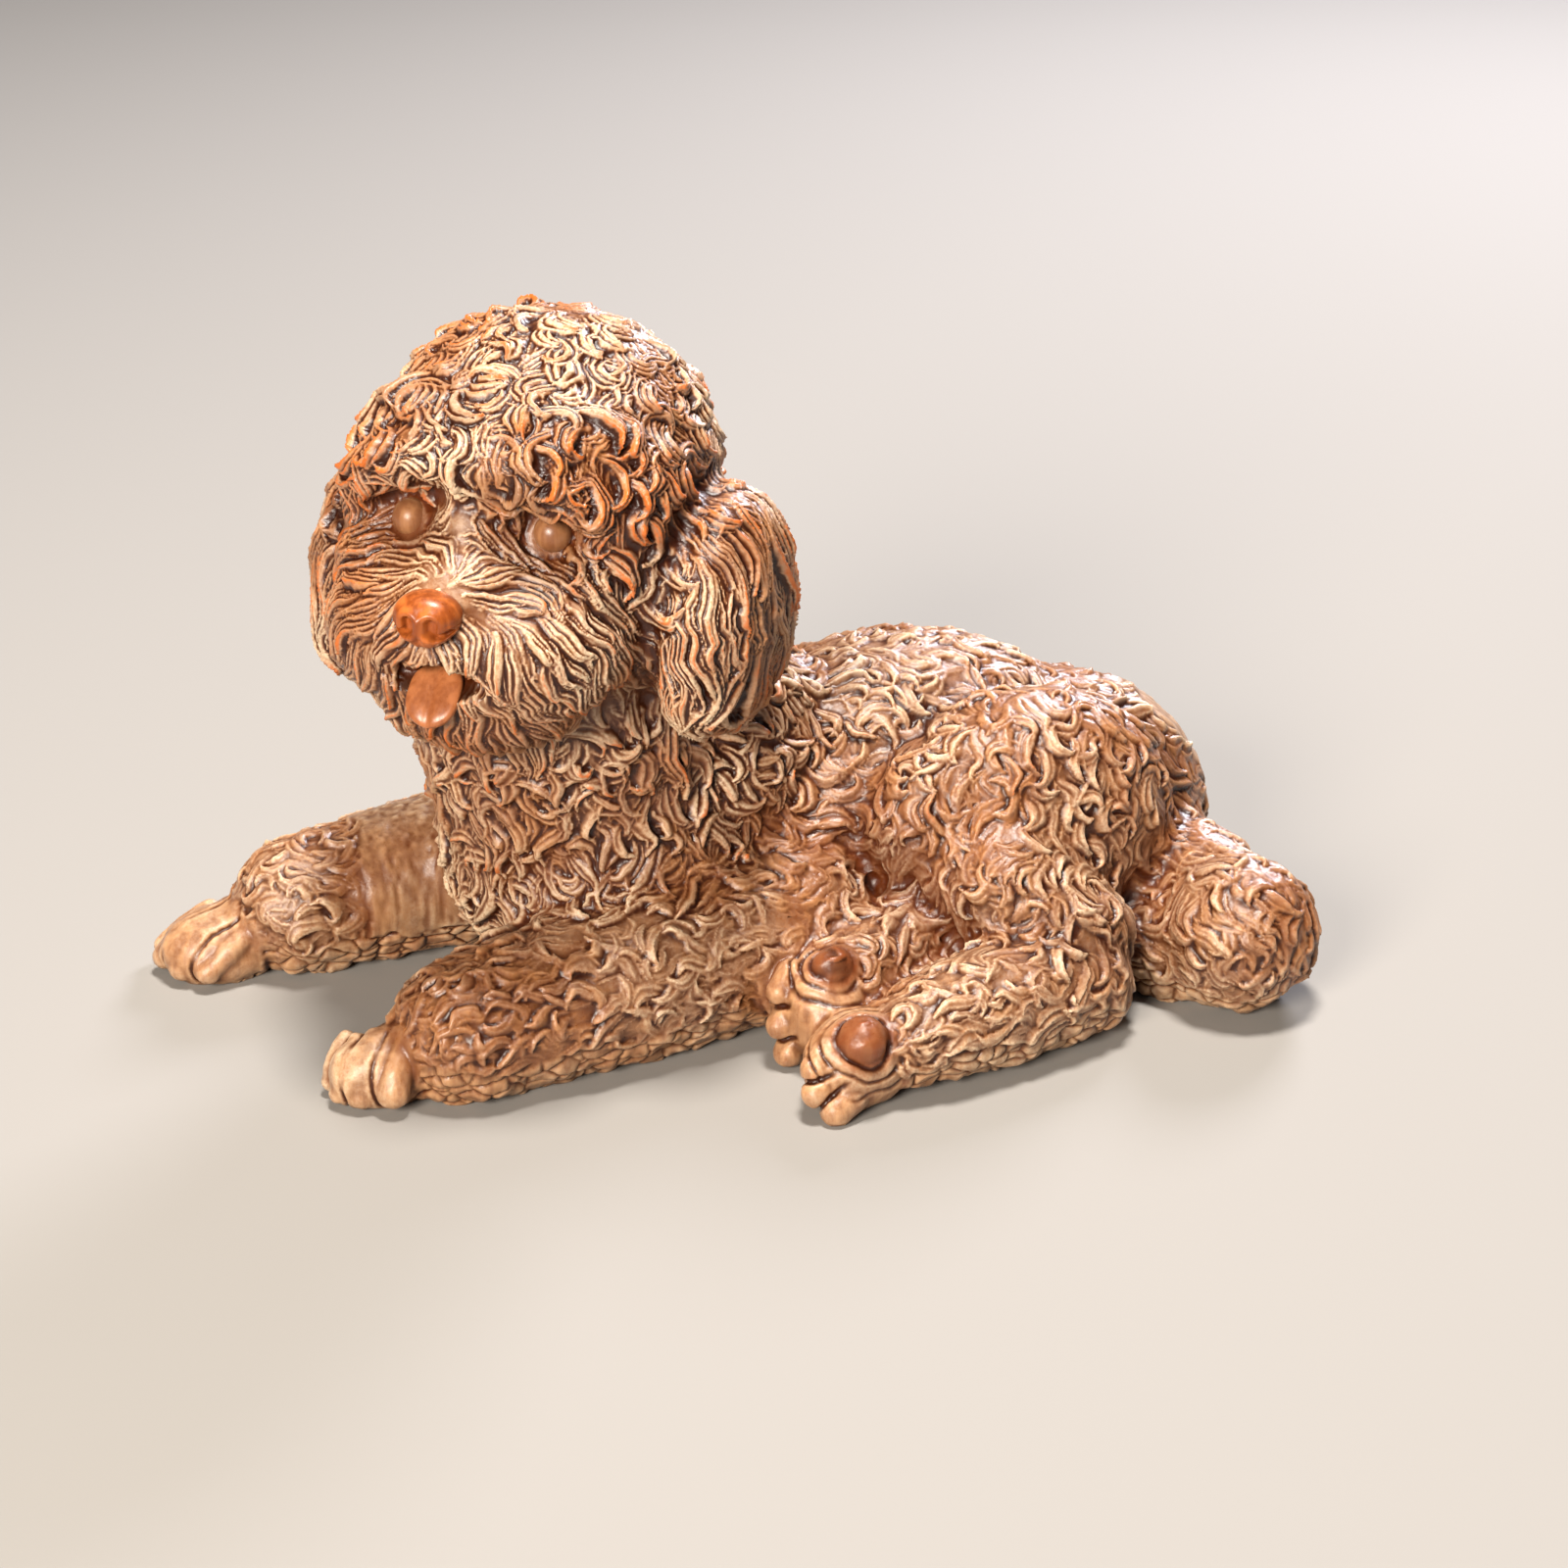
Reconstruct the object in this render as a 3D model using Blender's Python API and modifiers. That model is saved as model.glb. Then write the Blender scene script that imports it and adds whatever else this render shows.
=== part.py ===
"""A poodle lying down, carved from one block of wood, with its head turned to its left.

The figure is worked as a carver works it: rounded masses are fused into a blank, the blank is
smoothed, locks of wool are cut into it, the eyes, nose, tongue and toes are added crisply, and the
underside is planed flat so that it stands.

Frame: metres, +Z up. The dog's forward is -X and its left side is -Y. The origin lies on the flat
underside, below the belly.
"""
import math

import bmesh
import bpy
import numpy as np
from mathutils import Euler, Matrix, Vector

# The one size that everything follows: from the farther forepaw to the back of the tail.
FIGURE_LENGTH = 0.0665
# The carver's grid: the figure is this many units long, and its masses are laid out in units.
GRID_UNITS = 66.5
UNIT = FIGURE_LENGTH / GRID_UNITS

# How finely the figure is worked, in units: the blank, then the carving, each with rounds of
# smoothing after it.
BLANK_VOXEL = 0.50
SOFTENING_ROUNDS = 7
CARVING_VOXEL = 0.30
POLISHING_ROUNDS = 2
SEED = 11
# The finished skin has about this many triangles. Within the margin of an eye, the nose, the tongue
# or a toe it stays finer, and the care says by how much.
TARGET_TRIANGLES = 9600
DETAIL_MARGIN = 0.6
DETAIL_CARE = 4.0

# The head: its centre, how far it turns to the dog's left, and how it leans.
HEAD_CENTRE = Vector((-15.2, -1.0, 32.2))
HEAD_TURN = math.radians(54.0)
HEAD_LEAN = math.radians(2.0)
HEAD_MATRIX = Matrix.Translation(HEAD_CENTRE) @ Euler((HEAD_LEAN, 0.0, HEAD_TURN)).to_matrix().to_4x4()

# Each toe from its knuckle to its tip, and its thickness: near forepaw, far forepaw, then hind paws.
TOES = [
    ((-24.6, -10.1, 3.8), (-25.7, -12.4, 1.8), 1.10),
    ((-26.3, -9.7, 3.8), (-27.9, -12.0, 1.1), 1.15),
    ((-27.8, -9.0, 3.3), (-29.2, -11.2, 1.1), 0.80),
    ((-28.8, -8.1, 2.7), (-30.0, -10.0, 1.1), 0.75),
    ((-31.2, 6.8, 3.1), (-34.1, 5.7, 1.3), 0.90),
    ((-32.4, 8.6, 3.7), (-35.9, 7.1, 1.2), 1.20),
    ((-33.8, 9.9, 3.2), (-36.9, 8.7, 1.3), 0.90),
    ((-34.6, 11.1, 2.4), (-36.7, 10.2, 1.2), 0.80),
    ((-3.0, -16.9, 3.7), (-4.2, -18.1, 1.3), 1.00),
    ((-2.6, -18.5, 3.9), (-3.6, -19.4, 1.2), 1.15),
    ((-0.8, -20.1, 3.5), (-1.8, -21.0, 1.2), 1.10),
    ((-3.0, -12.3, 4.8), (-3.5, -13.0, 1.4), 1.20),
    ((-3.2, -14.3, 5.0), (-4.1, -15.1, 1.6), 1.20),
]
# The round pad on each hind paw: its middle and its radius.
PADS = [(-1.9, -19.6, 4.6, 1.45), (-1.7, -13.6, 6.1, 1.25)]

# The wool: spacing, length, half width and height of a lock in units, how much it curls, and how
# far its direction strays.
WOOL = {
    "crown": dict(spacing=2.9, length=4.6, half_width=1.50, height=1.30, curl=1.2, stray=0.9),
    "ear": dict(spacing=2.7, length=7.0, half_width=1.20, height=1.00, curl=0.5, stray=0.15),
    "beard": dict(spacing=2.5, length=4.4, half_width=1.10, height=0.70, curl=0.5, stray=0.25),
    "coat": dict(spacing=3.1, length=5.6, half_width=1.50, height=1.15, curl=1.0, stray=0.55),
    "leg": dict(spacing=2.8, length=4.8, half_width=1.35, height=0.95, curl=0.8, stray=0.40),
    "tail": dict(spacing=2.8, length=4.6, half_width=1.40, height=1.00, curl=0.9, stray=0.40),
}
BARE = "bare"

COLLECTION = "carved_poodle"
NODE = "carved_poodle"
WOOD_COLOUR = (0.36, 0.165, 0.07, 1.0)
WOOD_ROUGHNESS = 0.48

# The eyes in the head's frame, the hollow pressed round each and the lids that no lock covers.
EYE_FORWARD = 8.5
EYE_APART = 4.1
EYE_UP = 0.8
EYE_RADIUS = 1.35
SOCKET_RADII = (6.0, 3.3, 2.3)
SOCKET_DEPTH = 0.6
LID_RADII = (5.0, 2.6, 1.9)
TONGUE_DROOP = math.radians(-40.0)
# The ears and temples sit this much to the dog's left of the middle, as the head leans.
LEAN_LEFT = 0.8


def head_point(forward, left, up):
    """A point in the figure's grid from its place in the head's own frame."""
    return HEAD_MATRIX @ Vector((-forward, -left, up))


# Locks of the face flow away from the nose, and those of the back away from a point over the head.
NOSE = head_point(15.0, 0.0, -1.0)
BEHIND = Vector((-60.0, 0.0, 60.0))


def clear_scene():
    for old in list(bpy.data.objects):
        bpy.data.objects.remove(old, do_unlink=True)


def wood_material():
    material = bpy.data.materials.new("carved_wood")
    material.use_nodes = True
    shader = material.node_tree.nodes["Principled BSDF"]
    shader.inputs["Base Color"].default_value = WOOD_COLOUR
    shader.inputs["Roughness"].default_value = WOOD_ROUGHNESS
    shader.inputs["Metallic"].default_value = 0.0
    return material


class Blank:
    """The masses of the figure: meshes to fuse, and each one's skin, wool and source of its flow."""

    def __init__(self):
        self.meshes = []
        self.masses = []

    def ball(self, place, radii, wool=BARE, source=None):
        """An ellipsoid at a place, which is a point or a matrix."""
        if not isinstance(place, Matrix):
            place = Matrix.Translation(Vector(place))
        place = place @ Matrix.Diagonal((*radii, 1.0))
        shape = bmesh.new()
        bmesh.ops.create_uvsphere(shape, u_segments=40, v_segments=24, radius=1.0, matrix=place)
        mesh = bpy.data.meshes.new("mass")
        shape.to_mesh(mesh)
        shape.free()
        self.meshes.append(mesh)
        self.masses.append((place.inverted(), min(radii), wool, source or BEHIND))

    def limb(self, points, wool=BARE, source=None):
        """A limb whose thickness changes along it. Each point is x, y, z and radius."""
        curve = bpy.data.curves.new("limb", "CURVE")
        curve.dimensions = "3D"
        curve.bevel_depth = 1.0
        curve.bevel_resolution = 5
        curve.use_fill_caps = True
        spline = curve.splines.new("NURBS")
        spline.points.add(len(points) - 1)
        for knot, (x, y, z, radius) in zip(spline.points, points):
            knot.co = (x, y, z, 1.0)
            knot.radius = radius
        spline.order_u = 3
        spline.use_endpoint_u = True
        spline.resolution_u = 8
        holder = bpy.data.objects.new("limb", curve)
        bpy.context.scene.collection.objects.link(holder)
        graph = bpy.context.evaluated_depsgraph_get()
        mesh = bpy.data.meshes.new_from_object(holder.evaluated_get(graph))
        bpy.data.objects.remove(holder)
        shape = bmesh.new()
        shape.from_mesh(mesh)
        bmesh.ops.remove_doubles(shape, verts=shape.verts, dist=0.0001)
        bmesh.ops.recalc_face_normals(shape, faces=shape.faces)
        shape.to_mesh(mesh)
        shape.free()
        self.meshes.append(mesh)
        source = source or Vector(points[0][:3])
        for start, end in zip(points, points[1:]):
            for share in (0.0, 0.25, 0.5, 0.75, 1.0):
                x, y, z, radius = Vector(start).lerp(Vector(end), share)
                place = Matrix.Translation((x, y, z)) @ Matrix.Scale(radius, 4)
                self.masses.append((place.inverted(), radius, wool, source))
        for x, y, z, radius in (points[0], points[-1]):
            self.ball((x, y, z), (radius, radius, radius), wool, source)


def in_head(forward, left, up):
    """A place in the head's own frame, turned with the head."""
    return HEAD_MATRIX @ Matrix.Translation((-forward, -left, up))


def turned(x, y, z, turn):
    """A place in the grid, turned about the vertical by so many degrees."""
    return Matrix.Translation((x, y, z)) @ Matrix.Rotation(math.radians(turn), 4, "Z")


def lay_out_head(blank):
    """The round topknot with its fringe, the face, the beard round the mouth and the two ears."""
    whorl = head_point(-3.0, 0.0, 14.0)
    blank.ball(in_head(-0.5, 0.9, 1.1), (9.6, 9.9, 9.2), "crown", whorl)
    blank.ball(in_head(3.8, 0.6, 4.6), (6.2, 8.4, 4.0), "crown", whorl)
    blank.ball(in_head(2.8, 0.0, -1.2), (7.2, 8.2, 5.6), "beard", NOSE)
    blank.ball(in_head(8.2, 0.1, -5.6), (6.0, 8.8, 5.3), "beard", NOSE)
    blank.ball(in_head(9.4, 0.0, -2.7), (4.6, 3.6, 3.0), "beard", NOSE)
    blank.ball(in_head(-5.0, 0.0, -5.0), (7.5, 8.5, 8.5), "coat", whorl)
    blank.ball(in_head(8.4, 0.2, -9.2), (4.4, 6.0, 3.0), "beard", NOSE)
    for side in (-1.0, 1.0):
        blank.ball(in_head(3.2, LEAN_LEFT + side * 7.0, 1.2), (4.6, 3.0, 4.4), "crown", whorl)
        blank.ball(in_head(2.6, side * 7.4, -4.8), (5.0, 3.6, 5.0), "beard", NOSE)
        ear_root = head_point(0.0, side * 9.0, 24.0)
        blank.ball(in_head(-0.3, LEAN_LEFT + side * 11.0, -5.2), (5.5, 3.4, 7.9), "ear", ear_root)


def lay_out_body(blank):
    """The neck, the withers, the chest, the belly and the rump."""
    blank.limb([(-11.8, 1.4, 13.0, 9.4), (-14.8, -0.4, 24.0, 8.8)], "coat", head_point(4.0, 2.0, 10.0))
    blank.ball((-10.5, 1.6, 9.5), (10.2, 10.0, 11.0), "coat", head_point(6.0, 2.0, 10.0))
    blank.ball((-5.6, 1.8, 13.2), (9.0, 8.0, 8.6), "coat")
    blank.ball((-1.0, 3.2, 8.0), (10.0, 9.2, 9.6), "coat")
    blank.ball((7.6, 2.2, 8.4), (14.0, 9.8, 10.5), "coat")
    blank.ball((17.2, 0.5, 6.8), (10.2, 9.4, 9.0), "coat")


def lay_out_forelegs(blank):
    """Both forelegs lie straight ahead on the ground, angled to the dog's left.

    The inner side of the farther one was left bare, as a chisel left it.
    """
    near = [(-2.0, -5.4, 4.8, 5.9), (-13.0, -8.3, 4.1, 5.2), (-22.0, -9.8, 3.4, 4.4)]
    blank.limb(near, "leg")
    blank.ball(turned(-25.8, -10.3, 1.7, 14.0), (3.9, 2.6, 2.4))
    blank.ball((-7.0, 6.0, 8.0), (7.0, 6.2, 8.4), "coat", Vector((-6.0, 4.0, 22.0)))
    far = [(-6.0, 9.4, 5.0, 5.8), (-19.0, 8.9, 4.4, 5.0), (-28.0, 8.1, 3.6, 4.4)]
    blank.limb(far, "leg")
    inner = [(x, y - 0.5, z + 0.4, radius) for x, y, z, radius in far]
    blank.limb(inner)
    blank.ball((-28.6, 8.0, 4.9), (3.6, 3.4, 3.0), "leg", Vector((-18.0, 8.0, 6.0)))
    blank.ball(turned(-32.8, 8.2, 1.7, 8.0), (4.1, 2.9, 2.4))


def lay_out_hind_legs(blank):
    """The hips roll so that both hind paws come out on the dog's left."""
    blank.ball((13.2, -5.6, 9.4), (9.6, 6.4, 8.6), "coat", Vector((12.0, 0.0, 26.0)))
    blank.limb([(10.5, -10.0, 8.2, 4.6), (15.0, -12.8, 5.0, 4.2)], "coat", Vector((12.0, -4.0, 22.0)))
    blank.limb([(14.8, -13.9, 3.4, 4.0), (5.0, -17.0, 3.3, 4.0), (1.6, -18.0, 3.0, 2.9)], "leg")
    blank.ball(turned(-1.4, -18.5, 2.4, 22.0), (3.7, 2.7, 2.8))
    blank.limb([(6.0, -8.0, 5.0, 3.8), (-0.6, -12.0, 4.4, 3.2)], "leg")
    blank.ball(turned(-1.9, -13.8, 3.3, 22.0), (3.0, 2.7, 3.4))
    blank.ball((14.0, 7.0, 5.0), (9.5, 5.6, 6.6), "coat")


def lay_out_tail(blank):
    """A short root and the pompom that lies on the ground, against the hock."""
    blank.ball((19.8, -11.0, 2.6), (4.0, 3.6, 4.0), "tail")
    blank.limb([(21.0, -3.5, 6.0, 4.0), (23.6, -10.0, 5.6, 3.4)], "tail", Vector((14.0, 0.0, 10.0)))
    blank.ball((23.7, -14.2, 4.4), (4.8, 4.8, 4.9), "tail", Vector((20.0, -6.0, 14.0)))


def joined(meshes, name):
    """One object holding the given meshes."""
    shape = bmesh.new()
    for mesh in meshes:
        shape.from_mesh(mesh)
    whole = bpy.data.meshes.new(name)
    shape.to_mesh(whole)
    shape.free()
    holder = bpy.data.objects.new(name, whole)
    bpy.context.scene.collection.objects.link(holder)
    return holder


def apply_modifiers(holder):
    graph = bpy.context.evaluated_depsgraph_get()
    mesh = bpy.data.meshes.new_from_object(holder.evaluated_get(graph))
    holder.modifiers.clear()
    holder.data = mesh


def fuse(holder, voxel):
    """Fuses overlapping shells into one skin."""
    remesh = holder.modifiers.new("fuse", "REMESH")
    remesh.mode = "VOXEL"
    remesh.voxel_size = voxel
    apply_modifiers(holder)


def soften(holder, rounds):
    """Rounds off the creases where masses meet."""
    smooth = holder.modifiers.new("soften", "SMOOTH")
    smooth.factor = 0.5
    smooth.iterations = rounds
    apply_modifiers(holder)


def corners(holder):
    """The mesh's points and their normals, as two arrays."""
    mesh = holder.data
    points = np.empty(len(mesh.vertices) * 3)
    normals = np.empty(len(mesh.vertices) * 3)
    mesh.vertices.foreach_get("co", points)
    mesh.vertex_normals.foreach_get("vector", normals)
    return points.reshape(-1, 3), normals.reshape(-1, 3)


def move_corners(holder, points):
    holder.data.vertices.foreach_set("co", points.ravel())
    holder.data.update()


def press_sockets(holder):
    """Presses a hollow round each eye, under the fringe."""
    points, _ = corners(holder)
    inward = np.array(HEAD_MATRIX.to_3x3() @ Vector((1.0, 0.0, 0.0)))
    for side in (-1.0, 1.0):
        socket = in_head(EYE_FORWARD, side * EYE_APART, EYE_UP) @ Matrix.Diagonal((*SOCKET_RADII, 1.0))
        share = np.clip(1.0 - within(points, socket.inverted()) ** 2, 0.0, 1.0)
        points = points + SOCKET_DEPTH * share[:, None] * inward
    move_corners(holder, points)


def within(points, inverse):
    """How far each point lies from the middle of an ellipsoid, where 1 is on its skin."""
    matrix = np.array(inverse)
    return np.linalg.norm(points @ matrix[:3, :3].T + matrix[:3, 3], axis=1)


def wool_of(points, masses):
    """For each point, the kind of wool on the mass whose skin is nearest, and the way it flows."""
    nearest = np.full(len(points), np.inf)
    kinds = np.full(len(points), BARE, dtype=object)
    flows = np.zeros_like(points)
    for inverse, size, wool, source in masses:
        depth = (within(points, inverse) - 1.0) * size
        closer = depth < nearest
        nearest[closer] = depth[closer]
        kinds[closer] = wool
        flows[closer] = points[closer] - np.array(source)
    return kinds, flows


def clear_of_eyes(points):
    """1 away from the eyes, and 0 close round them, where no lock may lie."""
    share = np.ones(len(points))
    for side in (-1.0, 1.0):
        lids = in_head(EYE_FORWARD, side * EYE_APART, EYE_UP) @ Matrix.Diagonal((*LID_RADII, 1.0))
        share = np.minimum(share, np.clip((within(points, lids.inverted()) - 0.8) / 0.4, 0.0, 1.0))
    return share


def scatter(points, kinds, chance):
    """Roots of locks, no two nearer than the spacing of their wool, as indices into the points."""
    taken = {}
    roots = []
    cell = max(wool["spacing"] for wool in WOOL.values())
    for index in chance.permutation(len(points)):
        kind = kinds[index]
        if kind == BARE:
            continue
        here = points[index]
        key = tuple(np.floor(here / cell).astype(int))
        spacing = WOOL[kind]["spacing"]
        around = (
            other
            for i in (-1, 0, 1)
            for j in (-1, 0, 1)
            for k in (-1, 0, 1)
            for other in taken.get((key[0] + i, key[1] + j, key[2] + k), ())
        )
        if all(np.sum((here - other) ** 2) > spacing ** 2 for other in around):
            taken.setdefault(key, []).append(here)
            roots.append(index)
    return roots


def carve_wool(holder, masses):
    """Raises overlapping curled locks: each is low at its root and stands proud at its tip."""
    points, normals = corners(holder)
    kinds, flows = wool_of(points, masses)
    chance = np.random.default_rng(SEED)
    raised = np.zeros(len(points))
    for root in scatter(points, kinds, chance):
        wool = WOOL[kinds[root]]
        normal = normals[root]
        stray = chance.normal(0.0, wool["stray"])
        side_of_curl = chance.choice((-1.0, 1.0))
        near = np.linalg.norm(points - points[root], axis=1) < wool["length"]
        offset = points[near] - points[root]
        ahead = flows[root] - normal * (flows[root] @ normal)
        ahead = ahead / max(np.linalg.norm(ahead), 1e-6)
        across = np.cross(normal, ahead)
        heading = ahead * math.cos(stray) + across * math.sin(stray)
        across = np.cross(normal, heading) * side_of_curl
        along, off = offset @ heading + 0.35 * wool["length"], offset @ across
        bend = wool["length"] / max(wool["curl"], 1e-3)
        run = bend * np.arctan2(along, bend - off) / wool["length"]
        aside = (bend - np.hypot(along, bend - off)) / wool["half_width"]
        taper = np.clip(1.0 - np.abs(2.0 * run - 0.9) ** 3, 0.0, 1.0) ** 0.5
        dome = np.sqrt(np.clip(1.0 - (aside / np.maximum(taper, 0.05)) ** 2, 0.0, 1.0))
        rise = 0.3 + 0.7 * np.clip(run, 0.0, 1.0)
        facing = normals[near] @ normal > 0.3
        height = wool["height"] * dome * rise * facing * (run > 0.0) * (run < 1.0)
        raised[near] = np.maximum(raised[near], height)
    depth = np.array([WOOL[kind]["height"] if kind != BARE else 0.0 for kind in kinds])
    rise = (raised - 0.45 * depth) * clear_of_eyes(points)
    move_corners(holder, points + normals * rise[:, None])


def lay_out_crisp(crisp):
    """The eyes, nose, tongue and toes, which are cut after the wool."""
    for side in (-1.0, 1.0):
        place = in_head(EYE_FORWARD, side * EYE_APART, EYE_UP)
        crisp.ball(place, (EYE_RADIUS,) * 3)
    crisp.ball(in_head(13.7, 0.0, -2.2), (1.5, 2.2, 1.6))
    tongue = in_head(12.6, 0.0, -8.3) @ Matrix.Rotation(TONGUE_DROOP, 4, "Y")
    crisp.ball(tongue, (2.6, 1.8, 1.0))
    for knuckle, tip, radius in TOES:
        crisp.limb([(*knuckle, radius), (*tip, radius)])
    for x, y, z, radius in PADS:
        crisp.ball((x, y, z), (radius, radius, radius))


def thin_out(holder, triangles, details):
    """Keeps the shape with about so many triangles, and spares the details."""
    points, _ = corners(holder)
    nearest = np.full(len(points), np.inf)
    for inverse, size, _, _ in details:
        nearest = np.minimum(nearest, (within(points, inverse) - 1.0) * size)
    group = holder.vertex_groups.new(name="plain")
    share = np.clip(nearest / DETAIL_MARGIN, 0.1, 1.0)
    for index, weight in enumerate(share):
        group.add((index,), float(weight), "REPLACE")
    faces = sum(len(face.vertices) - 2 for face in holder.data.polygons)
    decimate = holder.modifiers.new("thin", "DECIMATE")
    decimate.ratio = triangles / faces
    decimate.vertex_group = group.name
    decimate.vertex_group_factor = DETAIL_CARE
    apply_modifiers(holder)
    holder.vertex_groups.clear()


def plane_underside(holder):
    """Planes the underside flat at the ground, so that the figure stands."""
    shape = bmesh.new()
    shape.from_mesh(holder.data)
    geometry = shape.verts[:] + shape.edges[:] + shape.faces[:]
    ground = dict(plane_co=(0, 0, 0), plane_no=(0, 0, -1), clear_outer=True)
    bmesh.ops.bisect_plane(shape, geom=geometry, dist=1e-5, **ground)
    rim = [edge for edge in shape.edges if edge.is_boundary]
    bmesh.ops.triangle_fill(shape, edges=rim, use_beauty=True, use_dissolve=False, normal=(0, 0, -1))
    bmesh.ops.triangulate(shape, faces=shape.faces)
    bmesh.ops.recalc_face_normals(shape, faces=shape.faces)
    shape.to_mesh(holder.data)
    shape.free()


def build():
    clear_scene()
    blank = Blank()
    lay_out_head(blank)
    lay_out_body(blank)
    lay_out_forelegs(blank)
    lay_out_hind_legs(blank)
    lay_out_tail(blank)
    figure = joined(blank.meshes, NODE)
    fuse(figure, BLANK_VOXEL)
    soften(figure, SOFTENING_ROUNDS)
    press_sockets(figure)
    fuse(figure, CARVING_VOXEL)
    carve_wool(figure, blank.masses)
    crisp = Blank()
    lay_out_crisp(crisp)
    details = joined(crisp.meshes, "details")
    whole = joined([figure.data, details.data], NODE)
    bpy.data.objects.remove(details)
    bpy.data.objects.remove(figure)
    fuse(whole, CARVING_VOXEL)
    soften(whole, POLISHING_ROUNDS)
    thin_out(whole, TARGET_TRIANGLES, crisp.masses)
    plane_underside(whole)
    whole.name = NODE
    whole.data.name = NODE
    whole.data.transform(Matrix.Scale(UNIT, 4))
    whole.data.materials.clear()
    whole.data.materials.append(wood_material())
    whole.data.shade_smooth()
    collection = bpy.data.collections.new(COLLECTION)
    bpy.context.scene.collection.children.link(collection)
    bpy.context.scene.collection.objects.unlink(whole)
    collection.objects.link(whole)


build()
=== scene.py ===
# %% [markdown]
# # A poodle carved from one block of wood
# This lesson finishes a small carved figure: a curly-coated dog that lies down and turns its head to
# its left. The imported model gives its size, its pose and its large forms. What is left to do here
# is what the carver's small gouges did: the fine strands of the wool, the face, and the colour of
# old oiled wood. We work as the carver does, from the block to the strand.

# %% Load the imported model
import math
import bpy
import numpy as np
from mathutils import Euler, Matrix, Vector
from mathutils.bvhtree import BVHTree
from mathutils.kdtree import KDTree


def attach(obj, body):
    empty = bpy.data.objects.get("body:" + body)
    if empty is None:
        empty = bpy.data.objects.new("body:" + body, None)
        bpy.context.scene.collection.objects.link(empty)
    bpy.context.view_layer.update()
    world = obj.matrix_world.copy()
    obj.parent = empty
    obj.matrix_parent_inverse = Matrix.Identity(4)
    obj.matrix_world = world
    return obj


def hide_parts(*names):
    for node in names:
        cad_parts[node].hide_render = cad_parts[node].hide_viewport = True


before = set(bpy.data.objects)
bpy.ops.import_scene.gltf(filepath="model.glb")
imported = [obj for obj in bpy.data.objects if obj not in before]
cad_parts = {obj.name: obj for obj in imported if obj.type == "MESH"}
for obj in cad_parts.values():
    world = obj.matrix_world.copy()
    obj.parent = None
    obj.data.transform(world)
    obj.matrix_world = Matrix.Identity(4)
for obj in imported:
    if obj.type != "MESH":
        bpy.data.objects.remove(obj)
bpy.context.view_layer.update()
NODE = "carved_poodle"
MM = 0.001

# %% [markdown]
# ## The camera
# The figure was seen from its left front, from a little above, through a lens that is a bit longer
# than normal. We place the camera by its direction and its distance, and aim it at a point above
# the middle of the figure.

# %% Place the camera
LENS = 76.5
LOOK_DOWN = math.radians(25.0)
LOOK_TURN = math.radians(18.0)
CAMERA_DISTANCE = 226.67 * MM
AIM = Vector((0.0, 0.0, 0.0))
AIM_OFFSET = 24.0 * MM
SENSOR_WIDTH, NEAREST_SEEN = 36.0, 0.01


def place_camera():
    turn = Matrix.Rotation(-LOOK_TURN, 3, "Z")
    forward = turn @ Vector((0.0, math.cos(LOOK_DOWN), -math.sin(LOOK_DOWN)))
    right = turn @ Vector((1.0, 0.0, 0.0))
    up = right.cross(forward)
    place = AIM - forward * CAMERA_DISTANCE + turn @ Vector((0.0, AIM_OFFSET, 0.0))
    bpy.ops.object.camera_add()
    camera = bpy.context.object
    camera.name = "view"
    camera.data.lens = LENS
    camera.data.sensor_width = SENSOR_WIDTH
    camera.data.clip_start = NEAREST_SEEN
    camera.matrix_world = Matrix.Translation(place) @ Matrix((right, up, -forward)).transposed().to_4x4()
    bpy.context.scene.camera = camera
    return camera


camera = place_camera()
print("camera, mm:", [round(x / MM, 1) for x in camera.matrix_world.translation])

# %% [markdown]
# ## Floor and light
# A plain grey floor and soft light let the carving speak. One lamp stands high over the figure, so
# that every lock casts a small shadow under it. A wider one fills the front left, and a cool one
# behind at the right lays a pale sheen along the back. The plain view transform keeps the warm
# colours of the wood as they are.


# %% Make the floor and the lamps
def sRGB(code):
    """A colour written as a hex code, turned to linear."""
    parts = [int(code[i : i + 2], 16) / 255.0 for i in (1, 3, 5)]
    linear = [c / 12.92 if c <= 0.04045 else ((c + 0.055) / 1.055) ** 2.4 for c in parts]
    return (*linear, 1.0)


def add_node(tree, kind, settings=None, links=None):
    """Adds a node, sets its properties and its sockets, and links what is linked to it."""
    made = tree.nodes.new(kind)
    for name, value in (settings or {}).items():
        setattr(made, name, value)
    for name, value in (links or {}).items():
        if isinstance(value, bpy.types.NodeSocket):
            tree.links.new(value, made.inputs[name])
        else:
            made.inputs[name].default_value = value
    return made


def new_material(name):
    material = bpy.data.materials.new(name)
    material.use_nodes = True
    return material, material.node_tree, material.node_tree.nodes["Principled BSDF"]


# The floor lies a hair under the figure, so that the two faces don't mix.
FLOOR_SIZE, FLOOR_LEVEL = 6.0, -0.00002
LAMP_AIM = Vector((0.0, 0.0, 0.018))
SKY_STRENGTH = 0.10


def make_floor():
    bpy.ops.mesh.primitive_plane_add(size=FLOOR_SIZE, location=(0.0, 0.0, FLOOR_LEVEL))
    floor = bpy.context.object
    floor.name = "floor"
    paper, tree, shader = new_material("matt_paper")
    shader.inputs["Base Color"].default_value = sRGB("#8b8884")
    shader.inputs["Roughness"].default_value = 0.9
    shader.inputs["Specular IOR Level"].default_value = 0.2
    floor.data.materials.append(paper)


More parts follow.
